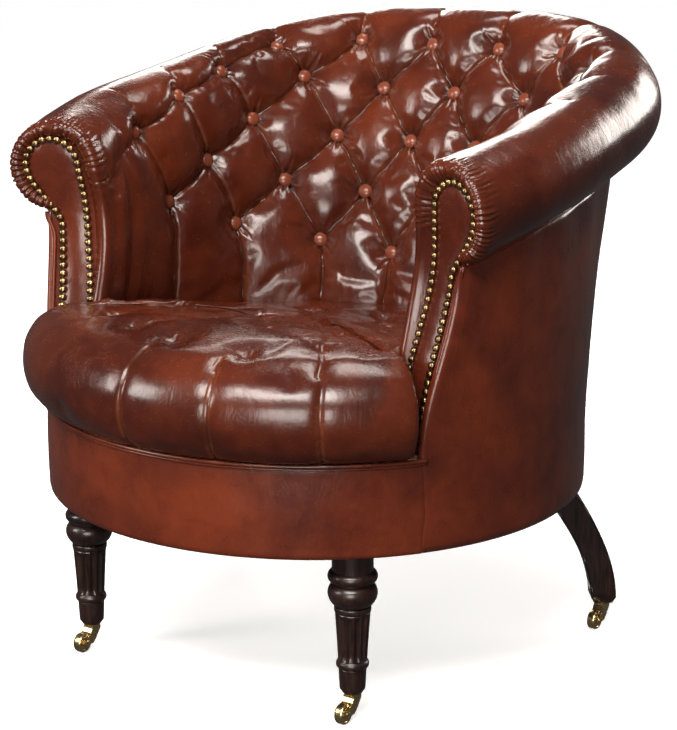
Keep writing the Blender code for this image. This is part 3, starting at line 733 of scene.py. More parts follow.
def finishSkin(mesh, held):
    # merges a skin's seams, closes it and returns what holds each point of the result
    bm = bmesh.new()
    bm.from_mesh(mesh)
    layer = bm.verts.layers.float.new("heldBy")
    for v, value in zip(bm.verts, held):
        v[layer] = float(value)
    bmesh.ops.remove_doubles(bm, verts=bm.verts, dist=1e-5)
    closeHoles(bm, split=True)
    bm.to_mesh(mesh)
    bm.free()
    mesh.shade_smooth()
    return takeAttribute(mesh, "heldBy")


def tuftedCover():
    look = tufting
    steps = look["steps"]
    columns = int(round(2 * look["lastM"] * steps))
    visible = int(round((8 + look["below"]) * look["rowSteps"]))
    m = np.linspace(-look["lastM"], look["lastM"], columns + 1)
    rho = np.linspace(-look["below"], 8, visible + 1)
    t, w, z, onRoll = coverPoint(*np.meshgrid(m, rho))
    base = sectionPoint(t, w, z)
    # the unseen way back: under the roll and down behind the padding
    tEdge = t[-1]
    _, _, roll, _, foot, padBack, coverTop = readStations(tEdge)
    r = plan["rollRadius"]
    first = np.arccos(np.clip(coverTop / r, -1, 1))
    quarters = (0.25, 0.5, 0.75, 1.0)
    level = np.full_like(roll, plan["seatLine"])
    back = []
    for f in quarters:
        a = -(first + (math.radians(look["hiddenTurn"]) - first) * f)
        back.append((r * np.cos(a), roll + r * np.sin(a)))
    under = back[-1]
    for f in quarters:
        back.append((under[0] + (padBack - under[0]) * f, under[1] + (level - under[1]) * f))
    back += [(padBack, level - 0.03), (padBack, level - 0.055), (padBack + (foot - padBack) * 0.5, level - 0.055)]
    hiddenPoints = [sectionPoint(tEdge, backW, backZ) for backW, backZ in back]
    hidden = len(hiddenPoints)
    wAll = np.concatenate([w, np.stack([backW for backW, _ in back])], 0)
    zAll = np.concatenate([z, np.stack([backZ for _, backZ in back])], 0)
    tAll = np.concatenate([t, np.repeat(tEdge[None], hidden, 0)], 0)
    rollZ = readStations(tAll)[2]
    # the arms' ends turn in round an edge; each point heads for its own spine
    underRoll = np.repeat((np.arange(hidden) < len(quarters))[:, None], columns + 1, 1)
    isRoll = np.concatenate([onRoll, underRoll], 0)
    spineW = np.where(isRoll, 0.0, wAll + np.where(wAll < -0.04, 0.03, -0.01))
    spineZ = np.where(isRoll, rollZ, zAll)
    seen = np.arange(len(wAll)) <= visible
    # how far in and ahead of the end the leather lies as it rolls over the front edge
    quarter = np.linspace(0, 0.5 * math.pi, look["rounding"] + 1)[1:]
    rollBead = [(0.0085 * (1 - math.cos(a)), 0.0115 * math.sin(a)) for a in quarter]
    rollBead += [(0.0112, 0.0108), (0.0138, 0.0085), (0.0160, 0.0052), (0.0185, 0.0018), (0.0215, -0.0010)]
    wallBead = [(0.0065 * (1 - math.cos(a)), 0.0095 * math.sin(a)) for a in quarter]
    wallBead += [(0.0086, 0.0089), (0.0106, 0.0068), (0.0124, 0.0040), (0.0142, 0.0015), (0.0165, -0.0010)]
    hiddenBead = [(0.001 * (k + 1), 0.001) for k in range(len(rollBead))]
    ends = []
    for column in (0, columns):
        tEnd, wEnd, zEnd = tAll[:, column], wAll[:, column], zAll[:, column]
        toward = np.stack([spineW[:, column] - wEnd, spineZ[:, column] - zEnd], -1)
        toward /= np.maximum(np.linalg.norm(toward, axis=1, keepdims=True), 1e-9)
        # the scroll's bead eases into the wall's
        share = np.where(isRoll[:, column], 1.0, smooth((zEnd - 0.575) / 0.05))[:, None]
        strip = []
        for fromRoll, fromWall, fromHidden in zip(rollBead, wallBead, hiddenBead):
            step = share * np.array(fromRoll) + (1 - share) * np.array(fromWall)
            step = np.where(seen[:, None], step, np.array(fromHidden))
            strip.append(sectionPoint(
                tEnd, wEnd + toward[:, 0] * step[:, 0], zEnd + toward[:, 1] * step[:, 0], step[:, 1]))
        ends.append(strip)
    allRows = np.concatenate([base, np.stack(hiddenPoints)], 0)
    left = np.stack(ends[0][::-1], 1)
    right = np.stack(ends[1], 1)
    points = np.concatenate([left, allRows, right], 1)
    points = np.concatenate([points, points[:1]], 0)
    rowLength = points.shape[1]
    bm = gridMesh(rowLength - 1, len(points) - 1)
    setPoints(bm, points)
    inEdge = len(ends[0])
    piece = toPiece("tuftedCover", bm, tuftedLeather)
    mesh = piece.data
    flat = readPoints(mesh)
    normals = readNormals(mesh)
    middle = np.array((0, plan["drumY"], 0.55))
    facing = np.sum((middle - flat) * normals, axis=1)
    rowIndex, columnIndex = np.divmod(np.arange(len(flat)), rowLength)
    wall = (flat[:, 2] < 0.5) & (rowIndex < visible)
    if np.sum(facing[wall]) < 0:
        normals = -normals
    mHere = np.clip(m[0] + (columnIndex - inEdge) * (m[1] - m[0]), -look["lastM"], look["lastM"])
    rhoHere = -look["below"] + rowIndex * (8 + look["below"]) / visible
    isSeen = rowIndex <= visible
    lines = [(linePoints(line), pull) for line, pull in pleatLines()]
    field, nearest, ways = foldField(flat, lines, look["reach"], look["sharp"])
    toButton = np.full(len(flat), 9.0)
    for place in buttonPlaces():
        button = linePoints((place, place), 1)
        toButton = np.minimum(toButton, np.linalg.norm(flat - button, axis=1))
    # past the last buttons of a column the folds fade out over the roll
    past = rhoHere - lastRow(mHere)
    over, gone = smooth(past / 1.3), smooth(past / 2.2)
    full = look["crest"] + look["pleat"]
    height = full * field - look["pleat"]
    height = height * (1 - over) + over * (0.0024 - 0.0042 * (1 - field ** 0.6) * (1 - gone))
    # the arm's front edge is one plain padded ridge
    ridge = smooth((np.abs(mHere) - 8.6) / 0.7) * (1 - over)
    height = height * (1 - ridge) + ridge * (0.0035 + 0.0045 * smooth((np.abs(mHere) - 8.9) / 0.9))
    dimple = np.exp(-((toButton / 0.015) ** 1.6))
    height -= look["button"] * dimple
    height -= 0.0020 * (1 - gone) * np.exp(-nearest / 0.0022) * (1 - dimple)
    near = np.exp(-nearest / 0.014)
    height += 0.0014 * wrinkle(flat, 42.0, 3, 3.0) * near * (1 - over) + 0.0008 * wrinkle(flat, 18.0, 2, 9.0)
    outer = smooth((rhoHere - 7.0) / 1.0)
    height *= 1 - outer
    height *= smooth((rhoHere + look["below"]) / 0.4)
    height = np.where(isSeen, height, 0.0)
    tHere = np.concatenate([np.repeat(tAll[:, :1], inEdge, 1), tAll, np.repeat(tAll[:, -1:], inEdge, 1)], 1)
    tHere = np.concatenate([tHere, tHere[:1]], 0).ravel()
    inEnd = np.maximum(inEdge - columnIndex, columnIndex - (rowLength - 1 - inEdge))
    fade = np.clip(1 - (inEnd - 3) / 4.0, 0, 1)
    height *= fade
    keep = (1 - np.exp(-((toButton / 0.013) ** 2))) * isSeen * (1 - over) * (1 - outer)
    drawn = drawnIn(flat, nearest, ways, look["drawn"], keep)
    writePoints(mesh, drawn + normals * height[:, None])
    seats = []
    for column, row in buttonPlaces():
        i = int(round((row + look["below"]) * look["rowSteps"])) * rowLength
        i += inEdge + int(round((column + look["lastM"]) * steps))
        seats.append((flat[i] + normals[i] * height[i], normals[i].copy()))
    # crest is low in the pleats and button dimples and sets where the leather is painted with shade
    crest = np.clip((height + look["pleat"] + 0.5 * look["button"]) / (full + 0.3 * look["button"]), 0, 1)
    crest = np.where(isSeen, crest, 0.5)
    crest = crest * (1 - over) + over * (0.7 + 0.3 * field)
    for name, values in (("crest", crest), ("m", mHere), ("rho", np.where(isSeen, rhoHere, 9)), ("t", tHere),
                         ("inEnd", inEnd)):
        addAttribute(mesh, name, values)
    addFlat(mesh, flat)
    held = np.where(isSeen, 0.0, 1.0)
    held = np.maximum(held, np.exp(-((nearest / 0.004) ** 2)))
    held = np.maximum(held, np.exp(-((toButton / 0.008) ** 2)))
    held = np.maximum(held, smooth((0.2 - rhoHere) / 0.4))
    held = np.maximum(held, smooth((rhoHere - 7.3) / 0.6))
    held = np.maximum(held, smooth((inEnd + 6) / 8.0))
    held = np.maximum(held, 0.8 * over)
    kept = finishSkin(mesh, held)
    print("tufted cover: cloth", len(mesh.vertices))
    clothRelaxed(piece, kept, 3.0, 0.011, 0.0045)
    pressCover(piece, lines, seats)
    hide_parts("inner_back_pad", "left_arm_pad", "right_arm_pad",
                "back_roll", "left_arm_roll", "right_arm_roll")
    return seats


def lastRow(m):
    # the topmost row of buttons in a column
    return np.interp(np.abs(m), (0, 5, 6, 7, 8, 11), (5, 5, 4, 3, 2, 2))


creaseLook = {
    "fold": 0.0017,
    "lip": 0.0008,
    "ray": 0.0024,
    "gather": 0.0013,
    "gathers": 56,
    # angle from straight up and length of each crease round a button
    "rays": ((-50, 0.036), (-31, 0.032), (-13, 0.022), (5, 0.027), (24, 0.033), (47, 0.038), (74, 0.016),
             (112, 0.016), (134, 0.037), (153, 0.031), (170, 0.024), (187, 0.029), (207, 0.033), (229, 0.037),
             (259, 0.016)),
}


def pressCover(piece, lines, seats):
    # presses the fine creases into the relaxed leather: along the folds, round the buttons
    # and where the roll's front ends are gathered
    look = creaseLook
    mesh = refined(piece)
    flat = takeFlat(mesh)
    mHere, rhoHere, tHere, inEnd = (takeAttribute(mesh, name) for name in ("m", "rho", "t", "inEnd"))
    points, normals = readPoints(mesh), readNormals(mesh)
    _, nearest, _ = foldField(flat, lines, tufting["reach"], tufting["sharp"])
    seen = smooth((8.0 - rhoHere) / 0.5) * smooth((rhoHere + tufting["below"]) / 0.4)
    along = (1 - smooth((rhoHere - lastRow(mHere)) / 2.2)) * seen
    height = along * (look["lip"] * np.exp(-(((nearest - 0.0042) / 0.0019) ** 2))
                      - look["fold"] * np.exp(-nearest / 0.0011))
    rays = np.zeros(len(flat))
    for k, (place, normal) in enumerate(seats):
        centre = place - normal * np.dot(place - flat[np.argmin(np.sum((points - place) ** 2, axis=1))], normal)
        across = np.cross((0, 0, 1), normal)
        across /= np.linalg.norm(across)
        upward = np.cross(normal, across)
        rays += creaseRays(flat, centre, across, upward, look["rays"], k)
    height -= look["ray"] * rays * seen
    crinkle = wrinkle(flat, 95.0, 3, 3.0)
    height += 0.0007 * crinkle * np.exp(-nearest / 0.011) * along
    # the gathers round each scroll
    rollHere = readStations(tHere)[2]
    centre = sectionPoint(tHere, 0 * tHere, rollHere)
    spoke = flat - centre
    axisFar = np.hypot(centre[:, 0], centre[:, 1] - plan["drumY"])
    beyond = np.hypot(flat[:, 0], flat[:, 1] - plan["drumY"]) - axisFar
    outwards = np.hypot(spoke[:, 0], spoke[:, 1]) * np.sign(beyond)
    theta = (np.degrees(np.arctan2(spoke[:, 2], outwards)) + 100) % 360 - 100
    radius = np.hypot(spoke[:, 2], outwards)
    back = (tufting["lastM"] - np.abs(mHere)) * 0.0515 - np.maximum(inEnd, 0) * 0.002
    gathers = np.zeros(len(flat))
    close = np.flatnonzero((back < 0.05) & (seen > 0) & (flat[:, 2] > rollHere - 0.056))
    side = np.where(flat[close, 0] > 0, 1.0, -1.0)
    for j in range(look["gathers"]):
        spot = -72 + 5.0 * j + 2.9 * math.sin(5.1 * j) + side * 1.9 * np.sin(2.7 * j)
        length = 0.014 + 0.008 * math.sin(3.3 * j + 1.0) + 0.004 * math.sin(7.7 * j)
        off = np.abs(np.radians(theta[close] - spot)) * radius[close]
        dent = (0.7 + 0.5 * math.sin(9.1 * j)) * np.exp(-((off / 0.0012) ** 1.5))
        dent = dent - 0.4 * np.exp(-(((off - 0.003) / 0.0014) ** 2))
        gathers[close] += dent * (1 - smooth((back[close] - 0.3 * length) / (0.7 * length)))
    height -= look["gather"] * gathers
    writePoints(mesh, points + normals * height[:, None])
    # the lips of the folds, rays and gathers are marked lighter: partly rubbed wear, partly a painted highlight
    patchy = 0.3 + 0.7 * (wrinkle(flat, 25.0, 2, 1.0) > 0)
    rub = 0.42 * np.exp(-(((nearest - 0.0034) / 0.0017) ** 2)) * along * patchy
    rub += 0.25 * np.clip(-rays, 0, 1) + 0.3 * np.clip(-gathers, 0, 1)
    addAttribute(mesh, "rub", np.clip(rub, 0, 1))


print("tufted cover")
buttonSeats = tuftedCover()


# Buttons: leather-covered domes set in the cover's hollows.

buttonLook = {"radius": 0.0101, "rise": 0.0055, "lift": 0.0046}


def coverButtons(seats):
    look = buttonLook
    one = bmesh.new()
    bmesh.ops.create_uvsphere(one, u_segments=24, v_segments=14, radius=1)
    bmesh.ops.bisect_plane(one, geom=one.verts[:] + one.edges[:] + one.faces[:], dist=1e-6,
                           plane_co=(0, 0, -0.35), plane_no=(0, 0, -1), clear_outer=True)
    closeHoles(one)
    shape = toMesh("button", one)
    bm = bmesh.new()
    for place, normal in seats:
        before = len(bm.verts)
        bm.from_mesh(shape)
        fresh = bm.verts[before:]
        turn = Vector(normal).to_track_quat("Z", "Y").to_matrix()
        for v in fresh:
            a = math.atan2(v.co.y, v.co.x)
            pucker = 1 + 0.012 * math.sin(9 * a) * (1 - v.co.z)
            local = Vector((v.co.x * look["radius"] * pucker, v.co.y * look["radius"] * pucker,
                            v.co.z * look["rise"] + look["lift"]))
            v.co = Vector(place) + turn @ local
    bpy.data.meshes.remove(shape)
    toPiece("coverButtons", bm, buttonLeather)


print("buttons")
coverButtons(buttonSeats)


# The seat: a crowned pad with a bulging round front, tufted on top. Tufts are given by
# their distance from the drum's axis and their angle from the front, in degrees.

seatLook = {
    "around": 300,
    "steps": ((0.346, 0.3352, 0.3352), (0.357, 0.3375, 0.337), (0.3695, 0.350, 0.345), (0.3785, 0.378, 0.360),
              (0.3755, 0.409, 0.375), (0.358, 0.437, 0.388), (0.325, 0.4525, 0.3985)),
    "rings": 13,
    "topRings": 44,
    "rim": 0.4525,
    "crown": 0.010,
    "tufts": ((0.268, -54), (0.268, -36), (0.272, -20), (0.284, -2), (0.310, 19.5), (0.262, 36), (0.266, 54),
              (0.168, -76), (0.172, -46), (0.166, -16), (0.166, 13.5), (0.170, 44), (0.168, 76),
              (0.160, 108), (0.160, -108), (0.165, 143), (0.165, -143), (0.168, 180),
              (0.078, -92), (0.080, -30), (0.080, 30), (0.078, 92), (0.085, 150), (0.085, -150)),
    "seams": ((-2.8, 3), (15.0, 4), (35.3, 5)),
    "puff": 0.0068,
    "tuft": 0.0098,
    "reach": 0.036,  # from a fold between two tufts to where the crown is full
    "seamReach": 0.024,
    "seamSharp": 0.5,
    "gap": 0.128,  # the longest fold between two tufts
}


def seatTop(x, y):
    # height of the seat's top at a plan point, y from the drum's axis
    back = smooth((y + 0.24) / 0.40)
    scale = np.clip(np.hypot(x, y + 0.10) / 0.27, 0, 1)
    return seatLook["rim"] + (plan["seatLine"] - seatLook["rim"]) * back + seatLook["crown"] * (1 - scale**2)


def seatOutline(front):
    # the seat's plan, from the middle of the front round by +X and on to where it starts
    end = plan["armEnd"]
    corner = sectionPoint(end, 0.004, 0.3352, 0.0154)
    limit = math.atan2(corner[0], corner[1] - plan["drumY"]) + 0.0012 / front
    right = [drumPoint(front, a, 0)[:2] for a in np.linspace(math.pi, limit, 70)]
    inner = sectionPoint(end, -0.062, 0.3352, 0.0154)[:2]
    last = right[-1]
    right += [last + (inner - last) * f for f in np.linspace(0, 1, 9)[1:]]
    t = np.linspace(end, 0, 90)
    foot = readStations(t)[4]
    bulge = 0.007 * smooth(t - 2.0)
    right += list(sectionPoint(t, foot - 0.0015 - bulge, plan["seatLine"] - 0.03)[:, :2])
    right = np.array(right)
    left = right[::-1][1:-1] * np.array((-1, 1))
    loop = np.vstack([right, left, right[:1]])
    # the joints of its arcs are eased
    for _ in range(3):
        loop[1:-1] = 0.25 * loop[:-2] + 0.5 * loop[1:-1] + 0.25 * loop[2:]
    run = runLength(loop)
    at = np.linspace(0, run[-1], seatLook["around"] + 1)
    return np.stack([np.interp(at, run, loop[:, 0]), np.interp(at, run, loop[:, 1])], -1)


def seatCushion():
    look = seatLook
    table = np.array(look["steps"])
    knots = np.arange(len(table))
    fine = np.linspace(0, len(table) - 1, look["rings"] * 2)
    profile = np.stack([np.interp(fine, knots, table[:, k]) for k in range(3)], -1)
    for _ in range(2):
        profile[1:-1] = 0.25 * profile[:-2] + 0.5 * profile[1:-1] + 0.25 * profile[2:]
    rings = []
    for front, frontZ, backZ in profile:
        plane = seatOutline(front)
        back = smooth((plane[:, 1] - plan["drumY"] + 0.24) / 0.40)
        rings.append(np.column_stack([plane, frontZ + (backZ - frontZ) * back]))
    rim = rings[-1]
    middle = np.array((0, plan["drumY"] - 0.02))
    for scale in np.linspace(1, 0, look["topRings"] + 1)[1:]:
        plane = middle + scale * (rim[:, :2] - middle)
        y = plane[:, 1] - plan["drumY"]
        z = seatTop(plane[:, 0], y)
        edgeZ = seatTop(rim[:, 0], rim[:, 1] - plan["drumY"])
        z = z + (rim[:, 2] - edgeZ) * smooth(scale * 4 - 3)
        rings.append(np.column_stack([plane, z]))
    lowest = rings[0]
    under = [np.column_stack([middle + scale * (lowest[:, :2] - middle), lowest[:, 2]])
             for scale in (0.05, 0.5, 0.96)]
    points = np.stack(under + rings)
    rowLength = points.shape[1]
    bm = gridMesh(rowLength - 1, len(points) - 1)
    setPoints(bm, points)
    piece = toPiece("seatCushion", bm, seatLeather)
    mesh = piece.data
    flat = readPoints(mesh)
    normals = readNormals(mesh)
    if np.sum(normals[flat[:, 2] > 0.42, 2]) < 0:
        normals = -normals
    tufts = []
    for radius, degrees in look["tufts"]:
        a = math.pi - math.radians(degrees)
        x, y = radius * math.sin(a), radius * math.cos(a)
        tufts.append(np.array((x, y + plan["drumY"], float(seatTop(x, y)))))
    tufts = np.array(tufts)
    pairs = []
    for i in range(len(tufts)):
        gaps = np.linalg.norm(tufts - tufts[i], axis=1)
        for j in np.argsort(gaps)[1:6]:
            apart = abs(look["tufts"][i][0] - look["tufts"][j][0])
            if gaps[j] < look["gap"] and apart > 0.05 and (j, i) not in pairs:
                pairs.append((i, j))
    topLines, seamLines = [], []
    for i, j in pairs:
        f = np.linspace(0, 1, 7)[:, None]
        run = tufts[i] * (1 - f) + tufts[j] * f
        run[:, 2] = seatTop(run[:, 0], run[:, 1] - plan["drumY"])
        topLines.append((run, 0.62))
    body = points[len(under):]
    angles = np.degrees(np.arctan2(body[..., 0], -(body[..., 1] - plan["drumY"])))
    for degrees, tuft in look["seams"]:
        run = [body[row, np.argmin(np.abs(angles[row] - degrees))] for row in range(len(profile))]
        goal = tufts[tuft]
        last = run[-1]
        for f in np.linspace(0.15, 1, 6):
            stop = last * (1 - f) + goal * f
            stop[2] = seatTop(stop[0], stop[1] - plan["drumY"]) if f > 0.3 else stop[2]
            run.append(stop)
        seamLines.append((np.array(run), 0.95))
    topField, topNear, _ = foldField(flat, topLines, look["reach"])
    seamField, seamNear, ways = foldField(flat, seamLines, look["seamReach"], look["seamSharp"])
    toTuft = np.min(np.linalg.norm(flat[:, None] - tufts[None], axis=2), axis=1)
    radial = np.hypot(flat[:, 0], flat[:, 1] - plan["drumY"])
    onTop = smooth((0.335 - radial) / 0.05) * (flat[:, 2] > 0.38)
    height = look["puff"] * (topField - 1) * onTop
    height += 0.0034 * (seamField - 1)
    height -= look["tuft"] * np.exp(-((toTuft / 0.013) ** 1.4)) * (flat[:, 2] > 0.38)
    nearest = np.minimum(topNear, seamNear)
    height -= 0.0008 * np.exp(-nearest / 0.0020)
    height += 0.0022 * wrinkle(flat, 30.0, 3, 4.0) * np.exp(-toTuft / 0.030) * onTop
    height += 0.0014 * wrinkle(flat, 11.0, 2, 8.0)
    seen = smooth((np.arange(len(flat)) // rowLength - len(under)) / 5)
    height *= seen
    height *= 1 - 0.8 * smooth((flat[:, 1] - plan["drumY"] - 0.14) / 0.06) * (radial > 0.15)
    drawn = drawnIn(flat, seamNear, ways, 0.0016, seen)
    writePoints(mesh, drawn + normals * height[:, None])
    # crest is low along the folds and seams and sets where the seat is painted with shade
    addAttribute(mesh, "crest", np.clip(0.35 + 0.65 * topField * onTop + 0.65 * (1 - onTop) * seamField, 0, 1))
    spot = np.array((-0.12, plan["drumY"] - 0.295, 0.425))
    wear = 1.1 * np.exp(-(np.linalg.norm(flat - spot, axis=1) / 0.085) ** 2) + 0.45 * onTop
    wear += 0.35 * smooth((flat[:, 2] - 0.41) / 0.03) * (1 - onTop)
    addAttribute(mesh, "wear", np.clip(wear, 0, 1))
    addAttribute(mesh, "seen", seen)
    addFlat(mesh, flat)
    held = np.maximum(1 - seen, np.exp(-((nearest / 0.004) ** 2)))
    held = np.maximum(held, np.exp(-((toTuft / 0.007) ** 2)))
    edgeHold = smooth((flat[:, 1] - plan["drumY"] - 0.02) / 0.08) * smooth((radial - 0.17) / 0.05)
    held = np.maximum(held, edgeHold)
    held = np.maximum(held, (flat[:, 1] > plan["drumY"] - 0.20) & (radial > 0.245))
    kept = finishSkin(mesh, held)
    print("seat: cloth", len(mesh.vertices))
    clothRelaxed(piece, kept, 3.0, 0.007, 0.003)
    pressSeat(piece, topLines, seamLines, tufts)
    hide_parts("seat_cushion")


starRays = ((-8, 0.024), (22, 0.030), (51, 0.021), (84, 0.031), (118, 0.023), (149, 0.030), (181, 0.022),
            (214, 0.031), (243, 0.024), (277, 0.030), (309, 0.022), (335, 0.028))


def pressSeat(piece, topLines, seamLines, tufts):
    # the sewn seams, and the stars of creases round the tufts
    mesh = refined(piece)
    flat, seen = takeFlat(mesh), takeAttribute(mesh, "seen")
    points, normals = readPoints(mesh), readNormals(mesh)
    onTop = smooth((0.345 - np.hypot(flat[:, 0], flat[:, 1] - plan["drumY"])) / 0.03) * (flat[:, 2] > 0.38)
    _, topNear, _ = foldField(flat, topLines, seatLook["reach"])
    _, seamNear, _ = foldField(flat, seamLines, seatLook["seamReach"], seatLook["seamSharp"])
    stars = np.zeros(len(flat))
    for k, tuft in enumerate(tufts):
        stars += creaseRays(flat, tuft, np.array((1.0, 0, 0)), np.array((0, 1.0, 0)), starRays, k)
    height = 0.0006 * np.exp(-(((seamNear - 0.0038) / 0.0016) ** 2)) - 0.0019 * np.exp(-seamNear / 0.0010)
    height -= (0.0007 * np.exp(-topNear / 0.0011) + 0.0027 * stars) * onTop
    height += 0.0005 * wrinkle(flat, 90.0, 3, 3.0) * onTop * np.exp(-topNear / 0.02)
    writePoints(mesh, points + normals * (height * seen)[:, None])
    # the lips of the seams, top folds and tuft stars are marked lighter: partly rubbed wear, partly a painted
    # highlight
    patchy = 0.3 + 0.7 * (wrinkle(flat, 28.0, 2, 6.0) > 0.0)
    rub = 0.5 * np.exp(-(((seamNear - 0.0036) / 0.0016) ** 2)) * patchy
    rub += (0.9 * np.clip(-stars, 0, 1) + 0.22 * np.exp(-(((topNear - 0.003) / 0.0018) ** 2)) * patchy) * onTop
    addAttribute(mesh, "rub", np.clip(rub, 0, 1))


print("seat")
seatCushion()


def outerW(t, z):
    # the outer cover's outer face, off the roll's centre
    x, y, roll, angle, _, _, coverTop = readStations(t)
    a = np.radians(angle)
    go = sweepAt(t, z)
    px, py = x + go * np.cos(a), y - go * np.sin(a)
    b = px * np.sin(a) + py * np.cos(a)
    start = -b + np.sqrt(b * b - px * px - py * py + plan["drumRadius"] ** 2)
    top = roll - np.sqrt(plan["rollRadius"] ** 2 - coverTop**2)
    rise = np.clip((z - 0.30) / (top - 0.30), 0, 1) ** 1.3
    return start + (coverTop - start) * rise, top


# Each arm's facing: a padded panel with a rolled edge and a closed row of nails.

facingLook = {
    "foot": 0.3355,
    "middle": 0.045,  # from the roll's centre in to where across is measured from
    "headAcross": 0.047,
    "headHeight": 0.619,
    "headRadius": 0.046,
    "ahead": -0.0004,
    "pad": 0.0034,
    "nailInset": 0.0104,
    "nailPitch": 0.0104,
    "nailRadius": 0.0051,
    "nailSeat": 0.0028,
}


def facingSpan(z):
    look = facingLook
    z = np.asarray(z, float)
    waist = smooth((z - look["foot"]) / 0.075) * (1 - smooth((z - 0.44) / 0.12))
    inner = -0.0075 - 0.0085 * waist
    outer = 0.0475 - 0.0045 * waist
    rise = np.clip((z - 0.545) / (look["headHeight"] - 0.545), 0, 1)
    inner = inner + (look["headAcross"] - look["headRadius"] + 0.0075) * rise**1.5
    outer = outer + (look["headAcross"] + look["headRadius"] - 0.0475) * np.sin(0.5 * math.pi * rise) ** 1.4
    half = np.sqrt(np.maximum(look["headRadius"] ** 2 - (z - look["headHeight"]) ** 2, 0))
    above = z > look["headHeight"]
    return np.where(above, look["headAcross"] - half, inner), np.where(above, look["headAcross"] + half, outer)


def facingPoint(across, z, ahead, side):
    return sectionPoint(side * plan["armEnd"], np.asarray(across) - facingLook["middle"], z, ahead)


def facingHeights():
    look = facingLook
    low = np.linspace(look["foot"], look["headHeight"], 70)
    a = np.radians(np.linspace(0, 90, 16)[1:])
    return np.concatenate([low, look["headHeight"] + look["headRadius"] * np.sin(a)])


def edgeRun(inset=0.0, count=90):
    # up the inner edge, round the scroll and down the outer edge, as (across, z)
    look = facingLook
    z = np.linspace(look["foot"], look["headHeight"], count)
    inner, outer = facingSpan(z)
    a = np.radians(np.linspace(178, 2, 40))
    reach = look["headRadius"] - inset
    head = np.column_stack([look["headAcross"] + reach * np.cos(a), look["headHeight"] + reach * np.sin(a)])
    up = np.column_stack([inner + inset, z])
    down = np.column_stack([outer - inset, z])[::-1]
    return np.vstack([up, head, down])


def evenly(points, pitch):
    run = runLength(points)
    count = int(round(run[-1] / pitch))
    at = np.linspace(0, run[-1], count + 1)
    return np.stack([np.interp(at, run, points[:, k]) for k in range(points.shape[1])], -1)


def armFacing(sideName, side):
    # the panel lies in the bead of the inner cover and under the outer cover's folded edge
    look = facingLook
    heights = facingHeights()
    across = 0.5 - 0.5 * np.cos(np.linspace(0, math.pi, 29))
    inner, outer = facingSpan(heights)
    covered = outerW(np.full_like(heights, plan["armEnd"]), heights)[0] + look["middle"] - 0.005
    outer = np.where(heights < 0.575, np.maximum(outer, covered), outer)
    u = inner[:, None] + (outer - inner)[:, None] * across
    z = np.repeat(heights[:, None], len(across), 1)
    nails = evenly(edgeRun(look["nailInset"]), 0.003)
    nearNail = np.min(np.hypot(u[..., None] - nails[:, 0], z[..., None] - nails[:, 1]), axis=-1)
    lowIn, lowOut = (edge[:, None] for edge in facingSpan(heights))
    within = smooth(np.minimum(u - lowIn, lowOut - u) / 0.03)
    within = within * smooth((look["headHeight"] + look["headRadius"] - z) / 0.03)
    ahead = look["ahead"] + look["pad"] * within - 0.0012 * np.exp(-((nearNail / 0.005) ** 2))
    ahead = ahead + 0.0006 * wrinkle(facingPoint(u, z, ahead, side), 40.0, 3, 2.0)
    bm = gridMesh(len(across) - 1, len(heights) - 1)
    setPoints(bm, facingPoint(u, z, ahead, side))
    bmesh.ops.remove_doubles(bm, verts=bm.verts, dist=2e-5)
    rim = [e for e in bm.edges if e.is_boundary]
    made = bmesh.ops.extrude_edge_only(bm, edges=rim)
    skirt = [v for v in made["geom"] if isinstance(v, bmesh.types.BMVert)]
    angle = math.radians(float(readStations(plan["armEnd"])[3]))
    back = Vector((-math.cos(angle) * side, math.sin(angle), 0)) * 0.0028
    bmesh.ops.translate(bm, vec=back, verts=skirt)
    closeHoles(bm, split=True)
    piece = toPiece(f"{sideName}Facing", bm, facingLeather, stands=(f"{sideName}_arm_facing",),
                    angle=70)


def nailShape():
    bm = bmesh.new()
    bmesh.ops.create_uvsphere(bm, u_segments=16, v_segments=12, radius=1)
    bmesh.ops.bisect_plane(bm, geom=bm.verts[:] + bm.edges[:] + bm.faces[:], dist=1e-6,
                           plane_co=(0, 0, 0), plane_no=(0, 0, -1), clear_outer=True)
    rim = [e for e in bm.edges if e.is_boundary]
    made = bmesh.ops.extrude_edge_only(bm, edges=rim)
    lip = [v for v in made["geom"] if isinstance(v, bmesh.types.BMVert)]
    bmesh.ops.scale(bm, vec=(0.93, 0.93, 1), verts=lip)
    bmesh.ops.translate(bm, vec=(0, 0, -0.16), verts=lip)
    closeHoles(bm)
    return toMesh("nail", bm)


def nailRow(sideName, side, shape):
    look = facingLook
    run = edgeRun(look["nailInset"])
    ahead = look["ahead"] + look["nailSeat"]
    gone = runLength(facingPoint(run[:, 0], run[:, 1], ahead, side))
    at = np.linspace(0.003, gone[-1] - 0.003, int(round(gone[-1] / look["nailPitch"])))
    bm = bmesh.new()
    for k, (across, z) in enumerate(zip(np.interp(at, gone, run[:, 0]), np.interp(at, gone, run[:, 1]))):
        p = facingPoint(across, z, ahead, side)
        sideways = facingPoint(across + 0.001, z, ahead, side) - p
        upward = facingPoint(across, z + 0.001, ahead, side) - p
        normal = Vector(np.cross(sideways, upward)).normalized()
        if normal.y > 0:
            normal = -normal
        # each was driven by hand, so they lean a little
        lean = Vector((math.sin(7.3 * k + side), math.cos(4.1 * k), math.sin(2.9 * k))) * 0.05
        turn = (normal + lean).to_track_quat("Z", "Y").to_matrix()
        before = len(bm.verts)
        bm.from_mesh(shape)
        size = look["nailRadius"] * (1 + 0.02 * math.sin(5.7 * k))
        for v in bm.verts[before:]:
            v.co = Vector(p) + turn @ Vector((v.co.x * size, v.co.y * size, v.co.z * size * 0.62))
    toPiece(f"{sideName}Nails", bm, nailBrass, stands=(f"{sideName}_nail_row",), angle=50)


